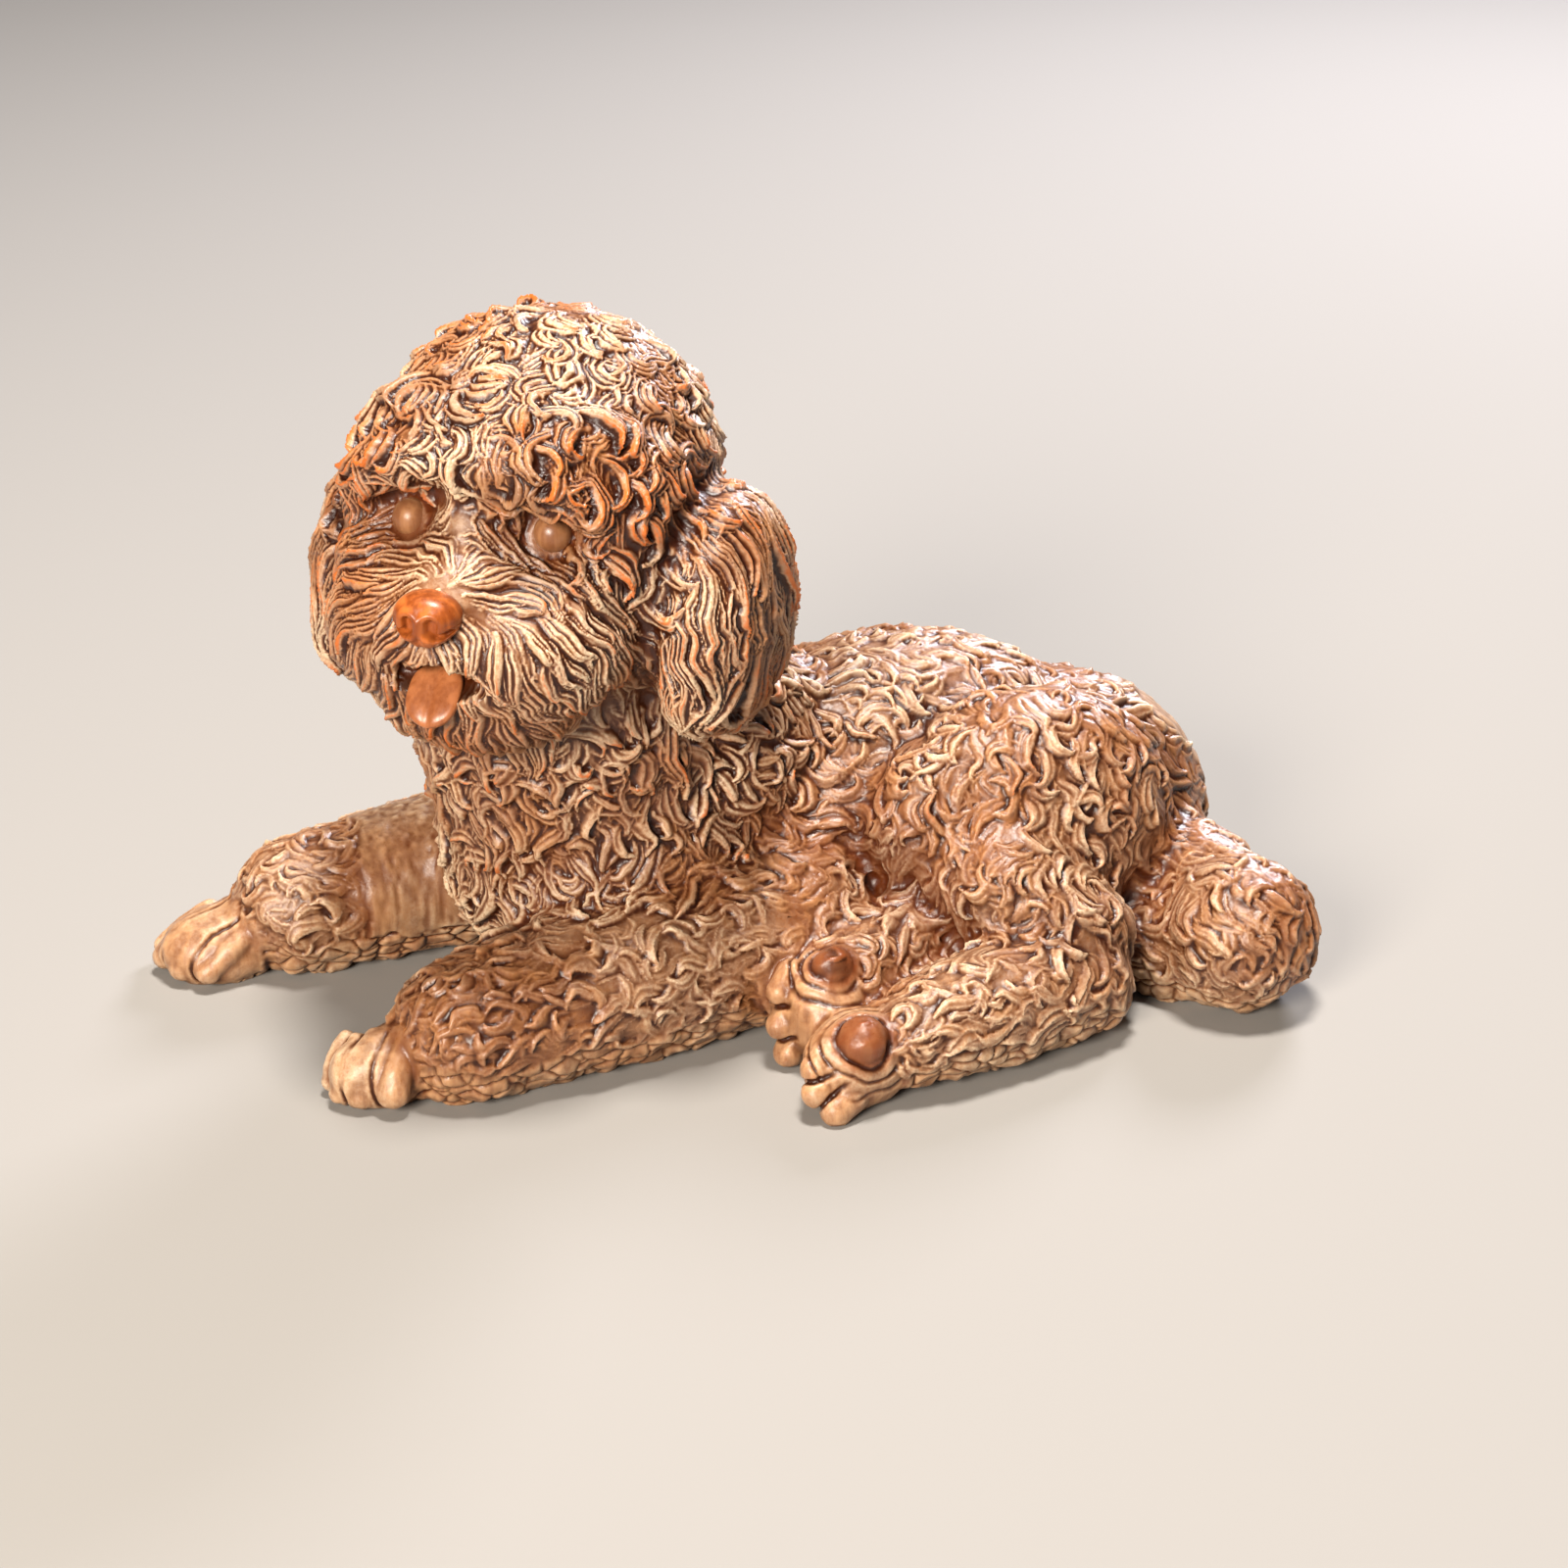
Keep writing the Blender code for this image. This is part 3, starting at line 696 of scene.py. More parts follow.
def beside(points, line, line_normals):
    """Each point's share of the way along the line, and its distance to the side and above it."""
    rel = points[:, None, :] - line[None, :-1, :]
    spans = line[1:] - line[:-1]
    lengths = np.linalg.norm(spans, axis=1)
    ways = spans / lengths[:, None]
    along = np.clip(np.einsum("mkc,kc->mk", rel, ways) / lengths, 0.0, 1.0)
    rel -= (along * lengths)[:, :, None] * ways[None, :, :]
    square = np.einsum("mkc,mkc->mk", rel, rel)
    best = square.argmin(axis=1)
    pick = np.arange(len(points))
    rel = rel[pick, best]
    off = (rel * unit(np.cross(line_normals[:-1], ways))[best]).sum(axis=1)
    above = (rel * line_normals[best]).sum(axis=1)
    flat = np.sqrt(np.maximum(square[pick, best] - above**2, 0.0))
    share = (best + along[pick, best]) / len(lengths)
    return share, np.sign(off) * np.maximum(np.abs(off), flat), above, line_normals[best]


# %% Carve the locks
EDGE_SLOPE = 0.22
PROUD_SHARE = 0.45
UNDERCOAT_HEIGHT, UNDERCOAT_GROOVE = 0.3, 0.8
# A strand drops steeply over the first part of its width and rises softly over the rest.
STEEP_PART, HOLLOWNESS = 0.36, 1.4
# The share by which handling has evened out the crests.
EDGE_WEAR = 0.45


def carve(points, normals):
    """How high the locks stand over each point, and the tone of the lock that is on top."""
    raised = np.zeros(len(points))
    tone = np.zeros(len(points))
    order, cells = sort_into_cells(points)
    for line, line_normals, wool, side, under in locks:
        proud = not under and chance.random() < PROUD_SHARE
        width = wool["half"] * chance.uniform(0.8, 1.2)
        height = wool["height"] * (chance.uniform(0.9, 1.15) if proud else chance.uniform(0.5, 0.7))
        groove = wool["groove"] * (UNDERCOAT_GROOVE if under else 1.0)
        height = height * UNDERCOAT_HEIGHT if under else height
        lift = 0.0 if under else wool["height"] * chance.uniform(0.0, 0.15)
        own_tone = chance.uniform(-1.0, 1.0)
        count = max(2, int(round(2.0 * width / wool["strand"])))
        strand_lift = chance.uniform(-0.10, 0.05, count + 1)
        strand_end = chance.uniform(0.78, 1.0, count + 1)
        near = near_line(line, width, order, cells)
        if not len(near):
            continue
        # The lock's outline: narrow at the root, pointed at the tip, and only where the skin faces it.
        share, off, above, facing = beside(points[near], line, line_normals)
        taper = (0.6 + 0.4 * np.clip(share / 0.3, 0.0, 1.0)) * np.clip((1.03 - share) / 0.5, 0.0, 1.0) ** 0.7
        across = off * side / (width * np.maximum(taper, 0.05))
        turned_up = (normals[near] * facing).sum(axis=1)
        inside = (np.abs(across) < 1.0) & (turned_up > 0.1) & (np.abs(above) < 1.6)
        near, share, across = near[inside], share[inside], across[inside]
        edge = np.clip((1.0 - np.abs(across)) * width / EDGE_SLOPE, 0.0, 1.0)
        # Its strands: hollow faces side by side, like shingles, and each ends in its own place.
        strand = (across * 0.5 + 0.5) * count
        number = np.minimum(strand.astype(int), count)
        part = strand - number
        rising = (part - STEEP_PART) / (1.0 - STEEP_PART)
        face = np.where(part < STEEP_PART, 1.0 - part / STEEP_PART, rising) ** HOLLOWNESS
        rise = 0.15 + 0.85 * np.clip(share / 0.7, 0.0, 1.0) ** 0.8
        ended = np.clip((strand_end[number] - share) / 0.05, 0.0, 1.0) ** 0.5
        cut = np.clip(share / 0.12, 0.0, 1.0) * (0.35 + 0.65 * ended)
        shingle = (0.54 + 0.40 * across) * (0.55 + 0.45 * ended)
        top = lift * rise + height * rise * edge * shingle + strand_lift[number] * ended
        top += groove * (face - 0.5) * edge * cut
        higher = top > raised[near]
        raised[near[higher]] = top[higher]
        tone[near[higher]] = own_tone
    return raised, tone


def evened(values, edges, count, rounds):
    """Values averaged with their neighbours, so many times."""
    a, b = edges[:, 0], edges[:, 1]
    degree = np.bincount(a, minlength=count) + np.bincount(b, minlength=count)
    for _ in range(rounds):
        total = np.bincount(a, values[b], count) + np.bincount(b, values[a], count)
        values = 0.5 * values + 0.5 * total / np.maximum(degree, 1)
    return values


def edges_of(piece):
    edges = np.empty(len(piece.data.edges) * 2, np.int32)
    piece.data.edges.foreach_get("vertices", edges)
    return edges.reshape(-1, 2)


def wobbled(points):
    """The points, moved a little, so that no strand runs like one drawn by a ruler."""
    moved = points.copy()
    for axis in range(3):
        moved[:, axis] += 0.20 * noise(points, 1.1, 31 + axis) + 0.05 * noise(points, 0.45, 41 + axis)
    return moved


points, normals = corners(figure)
edges = edges_of(figure)
raised, tone = carve(wobbled(points), normals)
raised = (1.0 - EDGE_WEAR) * raised + EDGE_WEAR * evened(raised, edges, len(points), 1)
print("carved: highest", round(float(raised.max()), 2), "mm")
print("uncut share", round(float((raised == 0).mean()), 2))

# %% [markdown]
# ## Where no lock may lie
# The paws, the inner side of the farther foreleg, the sliver of the rump, the lips and a ring
# round each eye stay free of wool. Low on the legs the wool ends in a ledge, and under it the
# block shows the small rounded chips that a flat chisel leaves. Fine creases part the toes, and
# rings run round the pads.


# %% Describe the foot of the block
# How high over the ground each wool ends.
LEDGES = {"leg": 2.7, "tail": 2.2, "coat": 4.2, "back": 3.6, "thigh": 3.4}
LEDGE_SOFTNESS = 0.25
CHIP, CHIP_HEIGHT = (1.5, 1.5, 0.9), 0.27
# The skin sinks by this share of a lock's height, so that the wool stays within the solid's form.
SINK = 0.45
BARE_GROOVE = 0.15
FURROW_DEPTH, FOOT_DEPTH, RING_DEPTH, CREASE_DEPTH = 0.5, 0.3, 0.20, 0.22


# %% Make helpers for soft borders
def soft_step(values, start, end):
    return eased(np.clip((values - start) / (end - start), 0.0, 1.0))


def spread(fields, known, where, cell):
    """Values at some points of the skin, averaged in cubes and read smoothly elsewhere."""
    low = known.min(axis=0) - 2.0 * cell
    size = np.ceil((known.max(axis=0) + 2.0 * cell - low) / cell).astype(int) + 1
    sums = np.zeros((len(fields) + 1, *size))
    scaled = (known - low) / cell
    for corner in CORNERS:
        spot = tuple((np.floor(scaled).astype(int) + corner).T)
        share = share_of(corner, scaled % 1.0)
        for row, values in enumerate([*fields, np.ones(len(known))]):
            np.add.at(sums[row], spot, share * values)
    scaled = np.clip((where - low) / cell, 0.0, size - 1.001)
    found = np.zeros((len(sums), len(where)))
    for corner in CORNERS:
        spot = tuple(np.minimum(np.floor(scaled).astype(int) + corner, size - 1).T)
        share = share_of(corner, scaled % 1.0)
        for row in range(len(sums)):
            found[row] += share * sums[row][spot]
    return found[:-1] / np.maximum(found[-1], 1e-6)


def chip_borders(points, size, where):
    """Chips of about the given size, where asked for. 0 in the middle of a chip, 1 on its border."""
    scaled = points[where] / np.array(size)
    cell = np.floor(scaled).astype(np.int64)
    nearest = np.full((2, len(scaled)), 9.0)
    table = np.random.default_rng(15).uniform(0.0, 1.0, (TABLE_SIZE, 3))
    for number in range(27):
        beside_it = cell + np.array([number // 9, number // 3 % 3, number % 3]) - 1
        away = ((beside_it + table[picked(beside_it)] - scaled) ** 2).sum(axis=1)
        nearest[1] = np.minimum(nearest[1], np.maximum(nearest[0], away))
        nearest[0] = np.minimum(nearest[0], away)
    result = np.zeros(len(points))
    result[where] = np.clip(nearest[0] / np.maximum(nearest[1], 1e-6), 0.0, 1.0)
    return result


def pad_lines(points):
    """Fine rings round the pads of the hind paws, which part the pad and the toes."""
    lines = np.zeros(len(points))
    for x, y, z, radius in PADS:
        gap = np.linalg.norm(points - np.array((x, y, z)), axis=1)
        gap += 0.30 * noise(points, 1.4, 14)
        for ring in PAD_LINES:
            lines = np.maximum(lines, np.clip(1.0 - np.abs(gap - ring * radius) / 0.2, 0.0, 1.0))
    return lines * soft_step(noise(points, 1.8, 18), -0.9, 0.1)


def border_of(name, width):
    """1 where a mass of this wool meets the others, falling to 0 within the width."""
    own = depths[wool_names == name].min(axis=0)
    others = depths[wool_names != name].min(axis=0)
    return np.exp(-(((own - others) / width) ** 2)) * (np.minimum(own, others) < 0.8)


# %% Clear the eyes, the paws and the foot of the block
woolly = depths[wool_names != "bare"].min(axis=0)
bareness = np.maximum(woolly - depths[wool_names == "bare"].min(axis=0), inner_side)
bareness = np.maximum(bareness, rear_end)
heights = [WOOL[kind]["height"] if kind in WOOL else 0.0 for kind in kinds]
levels = np.where(inner_side > 0.0, LEDGES["leg"], [LEDGES.get(str(kind), 0.0) for kind in kinds])
grooves = [WOOL[kind]["groove"] if kind in WOOL else BARE_GROOVE for kind in kinds]
height_here, ledge, groove_here = spread([heights, levels, grooves], coarse_points, points, 1.0)
borders = [border_of("ear", 0.5), 0.6 * border_of("thigh", 0.7)]
furrow = spread(borders, coarse_points, points, 0.7).max(axis=0)
smooth_wood = soft_step(spread([bareness], coarse_points, points, 0.6)[0], -0.15, 0.25)
toes = np.full(len(points), 9.0)
low_points = points[:, 2] < 8.0
by_toes = low_points & ((points[:, 0] < -22.0) | ((points[:, 0] < 4.0) & (points[:, 1] < -8.0)))
toe_depths = depths_in(points[by_toes], toe_masses)
toes[by_toes] = toe_depths.min(axis=0)
nearest, second = np.sort([toe_depths[a:b].min(axis=0) for a, b in toe_rows], axis=0)[:2]
crease = np.zeros(len(points))
crease[by_toes] = np.exp(-(((second - nearest) / 0.18) ** 2)) * (1.0 - soft_step(nearest, 0.2, 0.7))
free = np.minimum(soft_step(toes, 0.25, 0.7), 1.0 - smooth_wood)
for side in (-1.0, 1.0):
    free = np.minimum(free, soft_step(within(points, eye_place(side, 8.5), (4.0, 1.25, 1.14)), 0.8, 1.05))
mouth = soft_step(within(points, in_head(13.0, -0.1, MOUTH_UP - 0.3), (4.0, 2.25, 0.85)), 0.7, 1.1)
free = np.minimum(free, mouth)
ledge = ledge + (ledge > 0.5) * 0.6 * noise(points, 2.2, 3) + 0.3 * noise(points, 0.9, 4)
foot = 1.0 - soft_step(points[:, 2], ledge - LEDGE_SOFTNESS, ledge + LEDGE_SOFTNESS)
rise = raised * (1.0 - 0.3 * furrow) - SINK * height_here - FURROW_DEPTH * furrow
rise = rise * free * (1.0 - foot) - FOOT_DEPTH * foot
chips = 1.0 - chip_borders(points, CHIP, foot > 0.01) ** 2
rise += foot * (CHIP_HEIGHT * chips + 0.26 * noise(points, 1.1, 5) + 0.06 * noise(points, 0.4, 6))
cuts = smooth_wood * (toes > 0.4) * (points[:, 0] > -26.0) * (points[:, 1] > 0.0) * (1.0 - foot)
upright = points * np.array((1.0, 1.0, 0.12))
rise += cuts * (0.10 * noise(upright, 0.9, 8) + 0.05 * noise(upright, 0.3, 9) + 0.03 * noise(points, 0.5, 10))
rings = smooth_wood * pad_lines(points)
rise += (0.10 * noise(points, 1.1, 16) + 0.03 * noise(points, 0.4, 17)) * smooth_wood * (1.0 - cuts)
rise -= RING_DEPTH * rings + CREASE_DEPTH * crease
move_corners(figure, points + normals * rise[:, None])
print("rise from", round(float(rise.min()), 2), "to", round(float(rise.max()), 2), "mm")

# %% [markdown]
# ## What the colour needs to know
# The colour is dark in the cuts, from old dirt and painted shade, and darker under the large forms, as
# painted shade. It is pale on the raised curls, from dust and a painted highlight. So each point keeps six
# numbers: how deep it lies beside its neighbours, how deep between
# whole locks, how sheltered it is by the large forms, the tone of its own lock, how bare it is
# and how near it lies to a pad.


# %% Measure recesses and shelter
def shelter_of(points, normals, rays=20, reach=14.0):
    """How much of the open air over each coarse point the figure itself hides."""
    tree = BVHTree.FromPolygons([tuple(p) for p in coarse_points], coarse_faces)
    directions = unit(np.random.default_rng(4).normal(size=(rays, 3)))
    hidden = np.zeros(len(points))
    for row, (point, normal) in enumerate(zip(points, normals)):
        start = Vector(point + normal * 0.25)
        blocked = 0
        for way in directions:
            way = way if way @ normal > 0.0 else -way
            blocked += tree.ray_cast(start, Vector(way), reach)[0] is not None
        hidden[row] = blocked / rays
    return hidden


skin, _ = corners(figure)
smoothed = np.stack([evened(skin[:, axis], edges, len(skin), 14) for axis in range(3)], axis=1)
recess = -((skin - smoothed) * normals).sum(axis=1)
shown = raised * free * (1.0 - foot)
hollow = evened(shown, edges, len(skin), 40) - shown
known = coarse_points[::3]
shelter = shelter_of(known, coarse_normals[::3])
print("recess, mm:", [round(float(x), 3) for x in np.percentile(recess, (2, 50, 98))])
print("hollow, mm:", [round(float(x), 3) for x in np.percentile(hollow, (2, 50, 98))])
print("shelter:", [round(float(x), 2) for x in np.percentile(shelter, (10, 50, 90))])


def keep(piece, name, values):
    attribute = piece.data.attributes.new(name, "FLOAT", "POINT")
    attribute.data.foreach_set("value", np.asarray(values, np.float32))


# Shallow grooves count less, so that the body stays paler than the head. Between the locks old dirt and
# painted shade darken the wood. The mouth gets painted shade as dark as the deepest cut, and the furrows,
# creases and pad rings a little painted shade.
DEEP_GROOVE, MOUTH_DARK, LINE_DARK = 0.2, 0.3, 0.08
hollow = np.maximum(hollow, MOUTH_DARK * (1.0 - mouth))
keep(figure, "recess", recess * np.clip(groove_here / DEEP_GROOVE, 0.0, 1.0))
keep(figure, "hollow", hollow + LINE_DARK * furrow + LINE_DARK * np.maximum(crease, rings))
# Shelter paints shade under the large forms: under the chin and the belly, and between the legs.
keep(figure, "shelter", spread([shelter], known, points, 1.4)[0])
keep(figure, "tone", tone)
keep(figure, "bare", np.clip(smooth_wood + foot, 0.0, 1.0))
gaps = [np.linalg.norm(points - np.array((x, y, z)), axis=1) / radius for x, y, z, radius in PADS]
keep(figure, "pad", 1.0 - soft_step(np.min(gaps, axis=0), 1.0, 1.7))

# %% [markdown]
# ## Thinning the mesh and planing the foot
# The carving used far more points than it needs. Decimate keeps those where the surface bends
# and drops the rest. Then the underside is planed flat at the ground, as the real one was so
# that it stands.

# %% Thin out and plane
MOST_TRIANGLES = 925000


def count_triangles(piece):
    return len(piece.data.loops) - 2 * len(piece.data.polygons)


def plane_off(piece, point, normal):
    """Cuts away what lies beyond a plane and closes the cut with triangles."""
    only(piece)
    bpy.ops.object.mode_set(mode="EDIT")
    bpy.ops.mesh.select_all(action="SELECT")
    bpy.ops.mesh.bisect(plane_co=point, plane_no=normal, clear_outer=True, use_fill=True)
    bpy.ops.mesh.select_all(action="SELECT")
    bpy.ops.mesh.quads_convert_to_tris()
    bpy.ops.object.mode_set(mode="OBJECT")


if count_triangles(figure) > MOST_TRIANGLES:
    apply(figure, "DECIMATE", ratio=MOST_TRIANGLES / count_triangles(figure))
plane_off(figure, (0.0, 0.0, 0.0), (0.0, 0.0, -1.0))
print("triangles:", count_triangles(figure))

# %% [markdown]
# ## Five pieces instead of one
# A mesh this fine is heavy to handle, so it is cut by planes into the head's two halves and three
# lengths of the body. Each cut is closed inside. At the rims, the pieces share the normals that
# the whole skin had there, so that the cuts can't be seen.

# %% Cut the figure into pieces
NECK = 20.0
UPWARD, BACKWARD = np.array((0.0, 0.0, 1.0)), np.array((1.0, 0.0, 0.0))
cuts = []


def half_of(piece, name, point, normal):
    """A copy of the piece, without what lies beyond the plane."""
    half = piece.copy()
    half.data = piece.data.copy()
    half.name = half.data.name = name
    bpy.context.collection.objects.link(half)
    plane_off(half, point, normal)
    return half


def cut_in_two(piece, axis, level, beyond, before):
    """Two closed pieces: the one beyond a level on the axis and the one before it."""
    cuts.append((axis * level, axis))
    first = half_of(piece, beyond, axis * level, -axis)
    second = half_of(piece, before, axis * level, axis)
    bpy.data.meshes.remove(piece.data)
    return first, second


def place_on(piece, axis, share):
    """Where along an axis the given share of the points lies behind."""
    return float(np.quantile(corners(piece)[0] @ axis, share))


head, body = cut_in_two(figure, UPWARD, NECK, "head", "body")
ears = place_on(head, FACE_INWARD, 0.5)
nape, face = cut_in_two(head, FACE_INWARD, ears, "nape", "face")
waist = place_on(body, BACKWARD, 2.0 / 3.0)
hindquarters, front = cut_in_two(body, BACKWARD, waist, "hindquarters", "front")
shoulder = place_on(front, BACKWARD, 0.5)
flank, forequarters = cut_in_two(front, BACKWARD, shoulder, "flank", "forequarters")
carved = [face, nape, forequarters, flank, hindquarters]
print("triangles:", {piece.name: count_triangles(piece) for piece in carved})


# %% Let the pieces share their normals where they meet
def rim_normals(piece):
    """The points on the cuts, and the sum of the normals of the skin's faces round each of them."""
    mesh = piece.data
    points, _ = corners(piece)
    on_cut = [np.abs((points - point) @ normal) < 1e-4 for point, normal in cuts]
    rim = np.flatnonzero(np.any(on_cut, axis=0))
    faces = np.empty(len(mesh.loops), np.int32)
    mesh.loops.foreach_get("vertex_index", faces)
    faces = faces.reshape(-1, 3)
    faces = faces[np.isin(faces, rim).any(axis=1)]
    caps = np.any([there[faces].all(axis=1) for there in on_cut], axis=0)
    faces = faces[~caps]
    a, b, c = (points[faces[:, corner]] for corner in range(3))
    sums = np.zeros_like(points)
    for corner in range(3):
        np.add.at(sums, faces[:, corner], np.cross(b - a, c - a))
    return rim, points[rim], sums[rim]


rims = [rim_normals(piece) for piece in carved]
keys = np.round(np.concatenate([places for _, places, _ in rims]) * 5000.0).astype(np.int64)
_, same = np.unique(keys, axis=0, return_inverse=True)
same = same.ravel()
totals = np.zeros((same.max() + 1, 3))
np.add.at(totals, same, np.concatenate([sums for _, _, sums in rims]))
shared = unit(totals)[same]
for piece, (rim, _, _) in zip(carved, rims):
    normals = np.zeros((len(piece.data.vertices), 3), np.float32)
    normals[rim] = shared[: len(rim)]
    shared = shared[len(rim) :]
    piece.data.shade_smooth()
    piece.data.normals_split_custom_set_from_vertices(normals)
    piece.data.transform(Matrix.Scale(MM, 4))
print("points on the cuts:", len(keys))

# %% [markdown]
# ## The wood
# The figure is carved from a warm red-brown fruitwood and rubbed with oil. Old dirt and painted shade darken
# every cut almost to black, and painted shade darkens the wood under the large forms. Handling has worn some
# crests back to bright orange wood, and a fine pale dust clings to the rest, with a painted highlight on the
# raised curls. The grain stands upright in the block.


# %% Describe the patterns and layers of old wood
# How often a pattern repeats in a metre: the grain is drawn out upright. Then the number of lumps
# in a millimetre, their detail and their roughness.
PER_MM, GRAIN_PER_MM = 1000.0, 110.0
PATTERNS = {
    "grain": (GRAIN_PER_MM, 1.6, 4.0, 0.55),
    "patch": (PER_MM, 0.13, 2.0, 0.55),
    "speck": (PER_MM, 4.5, 4.0, 0.75),
    "worn_patch": (PER_MM, 0.21, 2.0, 0.55),
}
KEPT = ("recess", "hollow", "shelter", "tone", "bare", "pad")
# A rule follows a pattern from a low to a high value and gives a share that goes softly from 0 to
# 1, or from one given share to another. A rule without numbers takes the pattern as it is.
# Dust with a painted highlight: paler on the raised parts, away from the pads, in patches and specks.
DUST_AND_HIGHLIGHT = [
    ("patch", 0.38, 0.62, 0.25, 1.0),
    ("recess", 0.03, -0.05),
    ("pad", 1.0, 0.0),
    ("speck", 0.30, 0.62, 0.35, 1.0),
]
WORN_CREST = [("recess", -0.02, -0.11), ("worn_patch", 0.44, 0.56)]
GLOSS = [("speck", 0.3, 0.7, 0.26, 0.40)]
# How much each layer covers, its colours and its rules, from the wood up: the lock's own tone, bare wood,
# rubbed pads, dust with a painted highlight on the raised parts, worn crests, old dirt and painted shade
# between strands, old dirt and painted shade between locks with painted shade in the mouth and creases, and
# painted shade under the large forms.
LAYERS = [
    (0.6, ["#774221"], [("tone", -1.0, 1.0)]),
    (0.8, ["#8c5a36", "#b4845a", 0.65], [("bare",)]),
    (0.75, ["#74391c"], [("pad",)]),
    # Dust with a painted highlight on the raised parts.
    (0.8, ["#dcc7a8"], DUST_AND_HIGHLIGHT),
    (0.85, ["#bf5f18"], WORN_CREST),
    # Old dirt and painted shade in the fine cuts between strands.
    (0.94, ["#3d1402"], [("recess", -0.03, 0.05)]),
    # Old dirt and painted shade between the locks, with painted shade in the mouth and in the creases.
    (0.94, ["#2a0b00"], [("hollow", 0.0, 0.11)]),
    # Painted shade under the large forms.
    (0.6, ["#5a2609"], [("shelter", 0.3, 0.9)]),
]
DUST_ROUGHNESS = 0.15
GRAIN_HEIGHT, SPECK_HEIGHT, BUMP_DEPTH = 0.4, 0.6, 0.08 * MM
print("layers over the wood:", len(LAYERS))


# %% Make the wood
def patterns_of(tree, titles):
    """The patterns that are worked out on the wood, and the numbers kept by its points."""
    place = add_node(tree, "ShaderNodeTexCoord").outputs["Object"]
    found = {}
    for title in titles:
        if title in KEPT:
            kept = add_node(tree, "ShaderNodeAttribute", {"attribute_name": title})
            found[title] = kept.outputs["Fac"]
            continue
        upright, lumps, detail, roughness = PATTERNS[title]
        links = {"Vector": place, "Scale": (PER_MM, PER_MM, upright)}
        mapped = add_node(tree, "ShaderNodeMapping", links=links).outputs["Vector"]
        links = {"Vector": mapped, "Scale": lumps, "Detail": detail, "Roughness": roughness}
        found[title] = add_node(tree, "ShaderNodeTexNoise", links=links).outputs["Fac"]
    return found


def cover(tree, patterns, most, rules):
    """How much a layer covers: the most that it can, times what each of its rules gives."""
    for title, *steps in rules:
        part = patterns[title]
        if steps:
            links = dict(zip(("From Min", "From Max", "To Min", "To Max"), steps), Value=part)
            settings = {"interpolation_type": "SMOOTHSTEP"}
            part = add_node(tree, "ShaderNodeMapRange", settings, links).outputs["Result"]
        links = {0: most, 1: part}
        most = add_node(tree, "ShaderNodeMath", {"operation": "MULTIPLY"}, links).outputs["Value"]
    return most


def grained(tree, patterns, dark, light, high):
    """Two colours of one wood, mixed along its grain."""
    share = cover(tree, patterns, 1.0, [("grain", 0.35, high)])
    links = {0: share, 6: sRGB(dark), 7: sRGB(light)}
    return add_node(tree, "ShaderNodeMix", {"data_type": "RGBA"}, links).outputs[2]


def wood(name, dark, light, high, layers=()):
    """Oiled fruitwood: two colours of grain, and the layers that time has laid over them."""
    material, tree, shader = new_material(name)
    patterns = patterns_of(tree, (*PATTERNS, *KEPT) if layers else ("grain", "speck"))
    colour = grained(tree, patterns, dark, light, high)
    rough = cover(tree, patterns, 1.0, GLOSS)
    links = {0: patterns["grain"], 1: GRAIN_HEIGHT, 2: 0.0}
    if layers:
        # Where the dust with its painted highlight lies, the wood is rougher.
        dust = {0: cover(tree, patterns, 1.0, DUST_AND_HIGHLIGHT), 1: DUST_ROUGHNESS, 2: rough}
        rough = add_node(tree, "ShaderNodeMath", {"operation": "MULTIPLY_ADD"}, dust).outputs["Value"]
        specks = {0: patterns["speck"], 1: SPECK_HEIGHT}
        links[2] = add_node(tree, "ShaderNodeMath", {"operation": "MULTIPLY"}, specks).outputs["Value"]
    height = add_node(tree, "ShaderNodeMath", {"operation": "MULTIPLY_ADD"}, links).outputs["Value"]
    for most, colours, rules in layers:
        above = grained(tree, patterns, *colours) if len(colours) > 1 else sRGB(colours[0])
        links = {0: cover(tree, patterns, most, rules), 6: colour, 7: above}
        colour = add_node(tree, "ShaderNodeMix", {"data_type": "RGBA"}, links).outputs[2]
    links = {"Height": height, "Strength": 0.5, "Distance": BUMP_DEPTH}
    bump = add_node(tree, "ShaderNodeBump", links=links).outputs["Normal"]
    for socket, value in {"Base Color": colour, "Roughness": rough, "Normal": bump}.items():
        tree.links.new(value, shader.inputs[socket])
    shader.inputs["IOR"].default_value = 1.48
    shader.inputs["Specular IOR Level"].default_value = 0.5
    return material


# Carved with gouges and oiled: satin, dark in the cuts from old dirt and painted shade, and dusty on the
# curls with a painted highlight, so it reads as old.
oiled_wood = wood("gouge_carved_oiled_fruitwood", "#7f4822", "#a0683a", 0.68, LAYERS)
# The nose is burnished until it is deep and red, and so it stands out from the dusty wool.
polished_wood = wood("burnished_fruitwood", "#7c3a12", "#b2602a", 0.7)
# The tongue is scraped smooth, which gives a soft even sheen a little redder than the wool.
rubbed_wood = wood("scraped_fruitwood", "#8a4d29", "#ab693f", 0.7)
# The eyes are scraped too, but they lie deep, and dust dulls them to the colour of the wool.
eye_wood = wood("dusty_scraped_fruitwood", "#7a4d30", "#9b6c47", 0.7)
for piece in carved:
    piece.data.materials.clear()
    piece.data.materials.append(oiled_wood)

# %% [markdown]
# ## Eyes, nose and tongue
# These parts were rubbed smooth, so they catch the light and lead the eye to the face. Each starts
# as a ball. The nose is wide above and narrow below, and its two nostrils are commas that curl to
# the sides. The tongue is a cupped slab with a round tip.


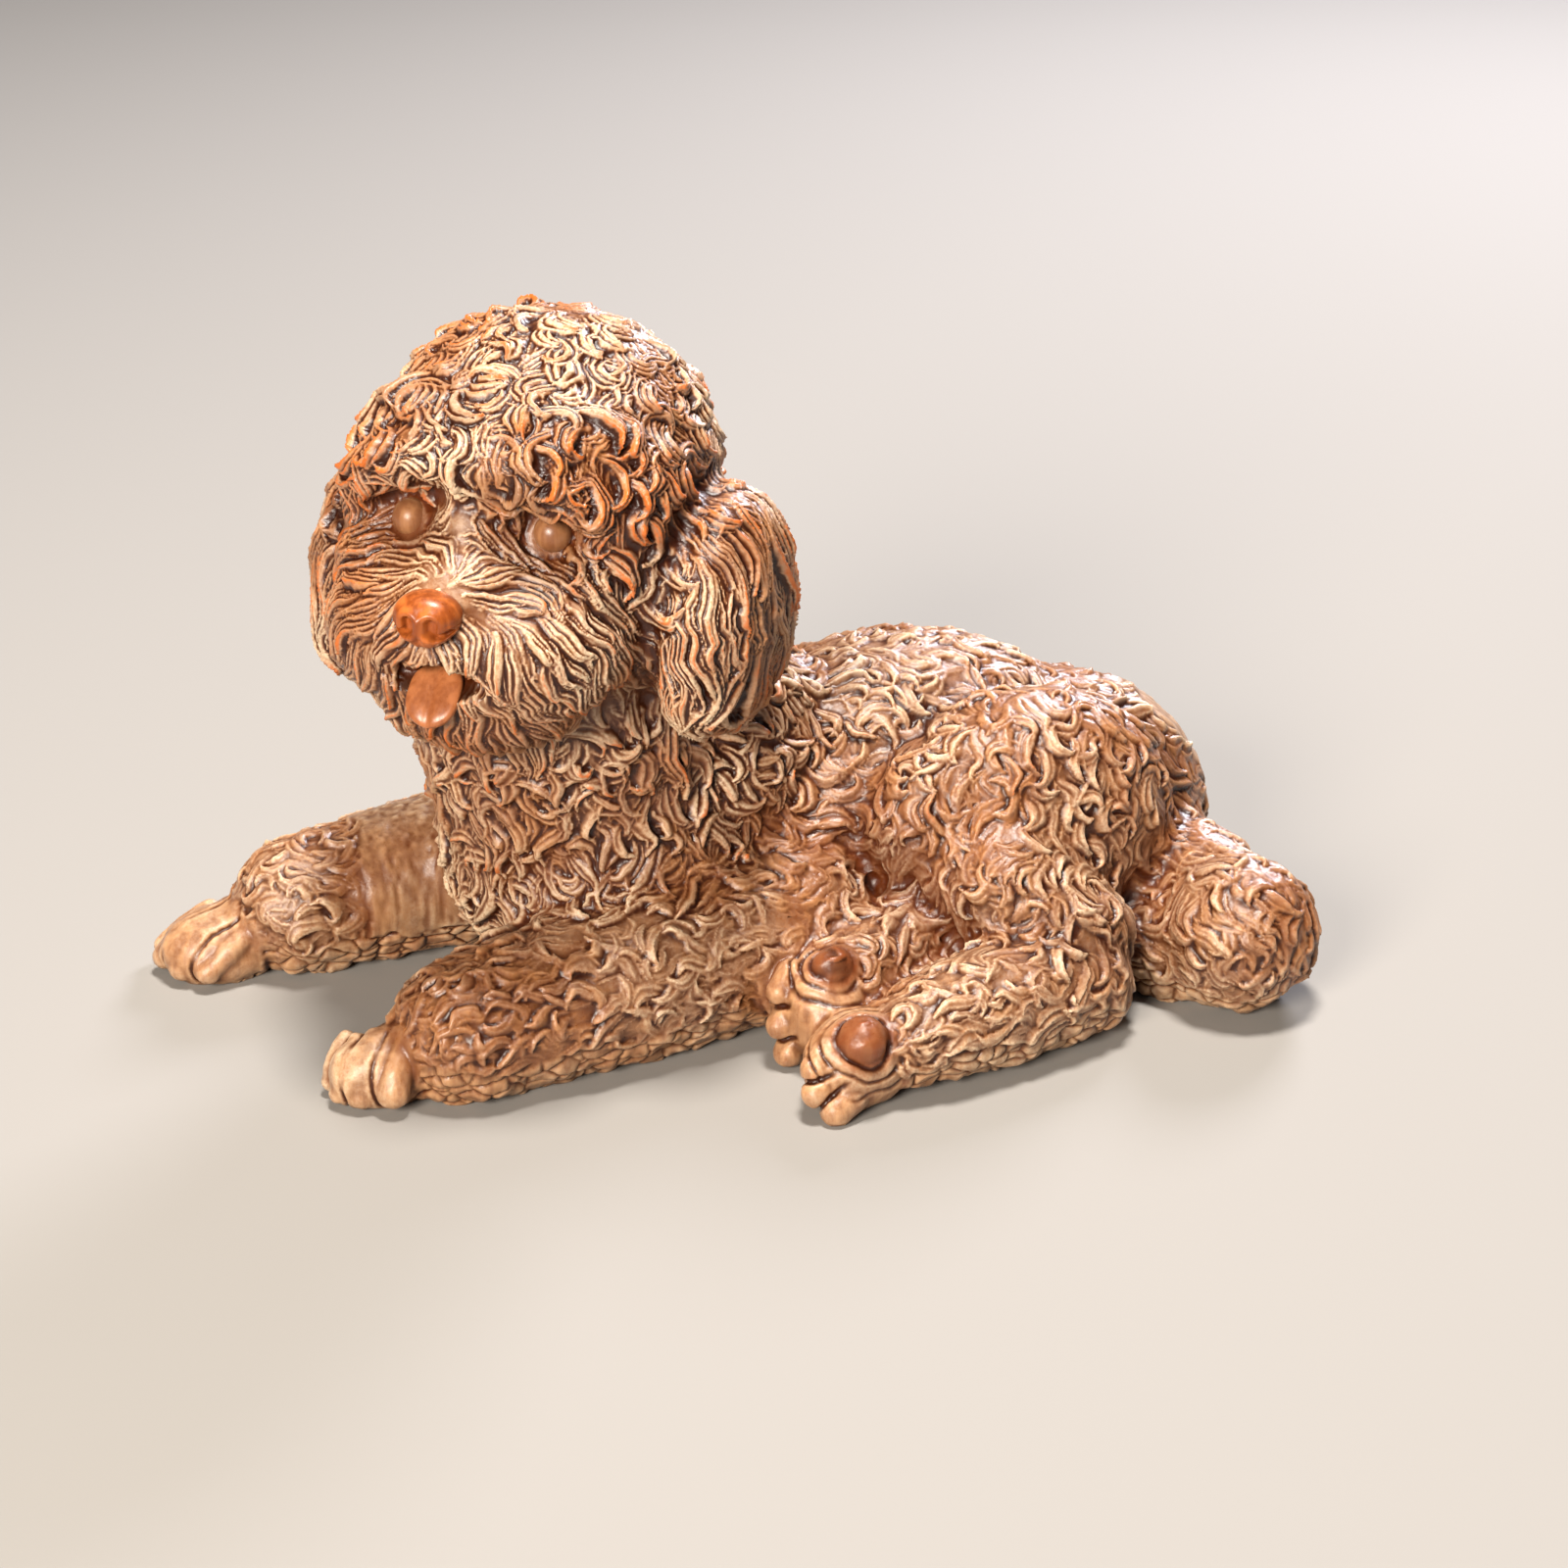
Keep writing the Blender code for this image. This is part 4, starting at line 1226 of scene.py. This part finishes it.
# %% Model the smooth parts of the face
def face_ball(name, rings):
    deselect()
    bpy.ops.mesh.primitive_uv_sphere_add(segments=rings * 3 // 2, ring_count=rings, radius=1.0)
    piece = bpy.context.object
    piece.name = piece.data.name = name
    points, _ = corners(piece)
    return piece, -points[:, 0], -points[:, 1], points[:, 2]


def set_in_head(piece, forward, left, up, place, material):
    """Gives the ball its new shape, puts it in the head and gives it its wood."""
    move_corners(piece, np.stack((-forward, -left, up), axis=1))
    piece.data.transform(Matrix.Scale(MM, 4) @ place)
    piece.data.shade_smooth()
    piece.data.materials.append(material)
    return piece


def bulge(values):
    """Makes a round profile fuller, as a softened box is."""
    return np.sign(values) * np.abs(values) ** 0.75


def along_curve(left, up, curve):
    """How many of the curve's own radii each point lies from it. A knot is left, up and radius."""
    best = np.full(len(left), 9.0)
    for (x, y, radius), (next_x, next_y, next_radius) in zip(curve, curve[1:]):
        span_x, span_y = next_x - x, next_y - y
        share = ((left - x) * span_x + (up - y) * span_y) / (span_x**2 + span_y**2)
        share = np.clip(share, 0.0, 1.0)
        gap = np.hypot(left - x - share * span_x, up - y - share * span_y)
        best = np.minimum(best, gap / (radius + (next_radius - radius) * share))
    return best


# The comma of a nostril, from its round head to the end of its tail: left, up and radius.
NOSTRIL = [
    (0.66, 0.16, 0.38),
    (0.64, -0.20, 0.36),
    (0.86, -0.46, 0.26),
    (1.22, -0.48, 0.18),
    (1.60, -0.22, 0.15),
]


def make_nose():
    nose, forward, left, up = face_ball("nose", 96)
    forward = bulge(forward) * 1.45
    left = left * 1.85 * (1.0 - 0.32 * soft_step(-up, -0.2, 1.0))
    up = bulge(up) * 1.5
    front = soft_step(forward, 0.0, 0.7)
    for side in (-1.0, 1.0):
        gap = along_curve(left * side, up, NOSTRIL)
        rim = np.exp(-(((gap - 1.6) / 0.5) ** 2)) * 0.14
        forward += front * (rim - 0.55 * (1.0 - soft_step(gap, 0.45, 1.1)))
    groove = np.exp(-((left / 0.16) ** 2)) * soft_step(-up, -0.6, 0.2)
    forward -= front * 0.13 * groove
    return set_in_head(nose, forward, left, up, in_head(13.7, -0.3, -2.75), polished_wood)


def make_tongue():
    tongue, forward, left, up = face_ball("tongue", 56)
    forward = bulge(forward) * 1.9
    cup = 0.22 * left**2 - 0.10 * np.exp(-((left / 0.18) ** 2)) * (up > 0.0)
    up = bulge(up) * 0.50 + cup
    tip_down = Matrix.Rotation(math.radians(-44.0), 4, "Y")
    place = in_head(13.1, -0.2, MOUTH_UP - 1.0) @ tip_down
    return set_in_head(tongue, forward, left * 1.5, up, place, rubbed_wood)


def make_eye(name, side):
    eye, forward, left, up = face_ball(name, 44)
    size = EYE_RADIUS
    return set_in_head(eye, forward * size, left * size, up * size, eye_place(side, EYE_FORWARD), eye_wood)


pieces = carved + [make_eye("left_eye", 1.0), make_eye("right_eye", -1.0), make_nose(), make_tongue()]
print("pieces:", [piece.name for piece in pieces])

# %% [markdown]
# ## Joining the model
# Every piece rides on the one body of the model, and the imported part that it replaces is hidden.

# %% Ride and replace
for piece in pieces:
    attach(piece, "root")
    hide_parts(NODE)
